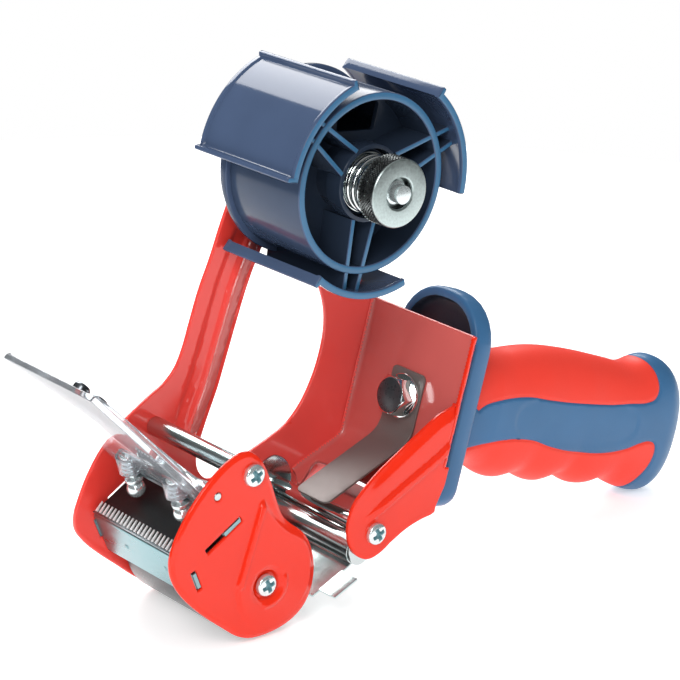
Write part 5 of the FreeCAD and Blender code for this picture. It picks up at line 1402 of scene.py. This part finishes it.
pin = revolve(soft_profile([(0, -7.9, 0), (1.4, -7.9, 0.35), (1.4, 47.9, 0.35), (0, 47.9, 0)]), (HINGE[0], 0, HINGE[1]), n=32)
add("flap_hinge_pin", pin, M_ZINC, "frame", ["flap_hinge_rod"])

# ------------------------------------------------------------------ carried-over nodes
keep = {"roller_axle": M_ZINC, "grip_washer": M_CHROME, "grip_bolt": M_CHROME, "grip_nut": M_ZINC, "spindle": M_SCREW, "spindle_nut": M_ZINC,
        "spindle_washer": M_ZINC, "flap_spring": M_WIRE}
for n, m in keep.items():
    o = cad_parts[n]
    o.data.materials.clear()
    o.data.materials.append(m)
    o.data.polygons.foreach_set("use_smooth", [True] * len(o.data.polygons))
    o.data.set_sharp_from_angle(angle=math.radians(32))
    # The bolt head's front face takes the near-black metal: painted dark reflection.
    if n == "grip_bolt":
        o.data.materials.append(M_BOLT_FACE_REFLECTION)
        for pz in o.data.polygons:
            if pz.normal.x * UX + pz.normal.z * UZ < -0.95:
                pz.material_index = 1
    if n in ("grip_washer", "grip_bolt", "spindle", "spindle_nut", "spindle_washer", "grip_nut"):
        wd = o.modifiers.new("weld", "WELD")
        wd.merge_threshold = 1e-5
        b = o.modifiers.new("edge", "BEVEL")
        b.width = 0.00035
        b.segments = 3
        b.limit_method = "ANGLE"
        b.angle_limit = math.radians(40)

# ------------------------------------------------------------------ floor, light, camera
me = bpy.data.meshes.new("floor")
me.from_pydata([(0.6 * math.cos(2 * PI * k / 96), 0.6 * math.sin(2 * PI * k / 96), 0) for k in range(96)], [], [tuple(range(96))])
floor = bpy.data.objects.new("floor", me)
SC.collection.objects.link(floor)
fm, fnt, fb = new_mat("floor_pale")
fn = noise(fnt, 3.0, 2.0)
fr = ramp(fnt, fn.outputs[0], [(0.3, grey(0.89)), (0.7, grey(0.91))])
fnt.links.new(fr.outputs[0], fb.inputs["Base Color"])
fb.inputs["Emission Color"].default_value = (1, 1, 1, 1)
fb.inputs["Emission Strength"].default_value = 0.42
fb.inputs["Roughness"].default_value = 0.9
fb.inputs["Specular IOR Level"].default_value = 0.1
floor.data.materials.append(fm)
floor.location = (0, 0, -0.0002)

world = bpy.data.worlds.new("studio")
SC.world = world
world.use_nodes = True
wt = world.node_tree
for n in list(wt.nodes):
    wt.nodes.remove(n)
wo = wt.nodes.new("ShaderNodeOutputWorld")
bg = wt.nodes.new("ShaderNodeBackground")
bg2 = wt.nodes.new("ShaderNodeBackground")
mixw = wt.nodes.new("ShaderNodeMixShader")
lp = wt.nodes.new("ShaderNodeLightPath")
tcw = wt.nodes.new("ShaderNodeTexCoord")
sepw = wt.nodes.new("ShaderNodeSeparateXYZ")
wt.links.new(tcw.outputs["Generated"], sepw.inputs[0])
rw = ramp(wt, sepw.outputs[2], [(0.0, grey(0.30)), (0.48, grey(0.10)), (0.56, grey(0.07)), (0.80, grey(0.12)), (1.0, grey(0.30))])
mpw = wt.nodes.new("ShaderNodeMapRange")
mpw.inputs["From Min"].default_value = -1.0
mpw.inputs["From Max"].default_value = 1.0
wt.links.new(sepw.outputs[2], mpw.inputs["Value"])
wt.links.new(mpw.outputs[0], rw.inputs[0])
wt.links.new(rw.outputs[0], bg.inputs["Color"])
bg.inputs["Strength"].default_value = 1.0
bg2.inputs["Color"].default_value = (1, 1, 1, 1)
bg2.inputs["Strength"].default_value = 1.0
bg3 = wt.nodes.new("ShaderNodeBackground")
bg3.inputs["Color"].default_value = (1, 1, 1, 1)
bg3.inputs["Strength"].default_value = 0.68
mixg = wt.nodes.new("ShaderNodeMixShader")
wt.links.new(lp.outputs["Is Glossy Ray"], mixg.inputs[0])
wt.links.new(bg3.outputs[0], mixg.inputs[1])
wt.links.new(bg.outputs[0], mixg.inputs[2])
seen = wt.nodes.new("ShaderNodeMath")
seen.operation = "MAXIMUM"
wt.links.new(lp.outputs["Is Camera Ray"], seen.inputs[0])
wt.links.new(lp.outputs["Is Transmission Ray"], seen.inputs[1])
wt.links.new(seen.outputs[0], mixw.inputs[0])
wt.links.new(mixg.outputs[0], mixw.inputs[1])
wt.links.new(bg2.outputs[0], mixw.inputs[2])
wt.links.new(mixw.outputs[0], wo.inputs[0])


def area(name, loc, target, size, power, color=(1, 1, 1), size_y=None):
    d = bpy.data.lights.new(name, "AREA")
    d.energy = power
    d.color = color
    d.shape = "RECTANGLE"
    d.size = size
    d.size_y = size_y or size
    o = bpy.data.objects.new(name, d)
    SC.collection.objects.link(o)
    o.location = loc
    v = Vector(target) - Vector(loc)
    o.rotation_mode = "QUATERNION"
    o.rotation_quaternion = v.to_track_quat("-Z", "Y")
    return o


area("back_box", (0.36, 0.97, 0.90), (0, 0, 0.10), 1.25, 17.0, size_y=0.55)
area("key", (-0.85, -0.65, 0.90), (0, 0, 0.08), 0.45, 6.5)
area("left_strip", (-0.95, -0.88, 0.29), (-0.05, 0, 0.06), 0.10, 1.5, size_y=0.5)

az, el, roll = math.radians(-40.462), math.radians(18.652), math.radians(2.5)
back = np.array([math.sin(az) * math.cos(el), -math.cos(az) * math.cos(el), math.sin(el)])
right = np.array([math.cos(az), math.sin(az), 0.0])
up = np.cross(back, right)
c, s = math.cos(roll), math.sin(roll)
r2, u2 = c * right + s * up, -s * right + c * up
D, CX, CY, F = 882.3, 10.46, 51.06, 2697.0
pos = (D * back - CX * r2 - CY * u2 + SH) * 0.001
cam = bpy.data.cameras.new("view")
co = bpy.data.objects.new("view", cam)
SC.collection.objects.link(co)
cam.sensor_width = 36.0
cam.lens = 36.0 * F / 680.0
cam.clip_start, cam.clip_end = 0.05, 30.0
co.matrix_world = Matrix(((r2[0], u2[0], back[0], pos[0]), (r2[1], u2[1], back[1], pos[1]), (r2[2], u2[2], back[2], pos[2]), (0, 0, 0, 1)))
SC.camera = co
SC.view_settings.view_transform = "Standard"
SC.view_settings.look = "None"
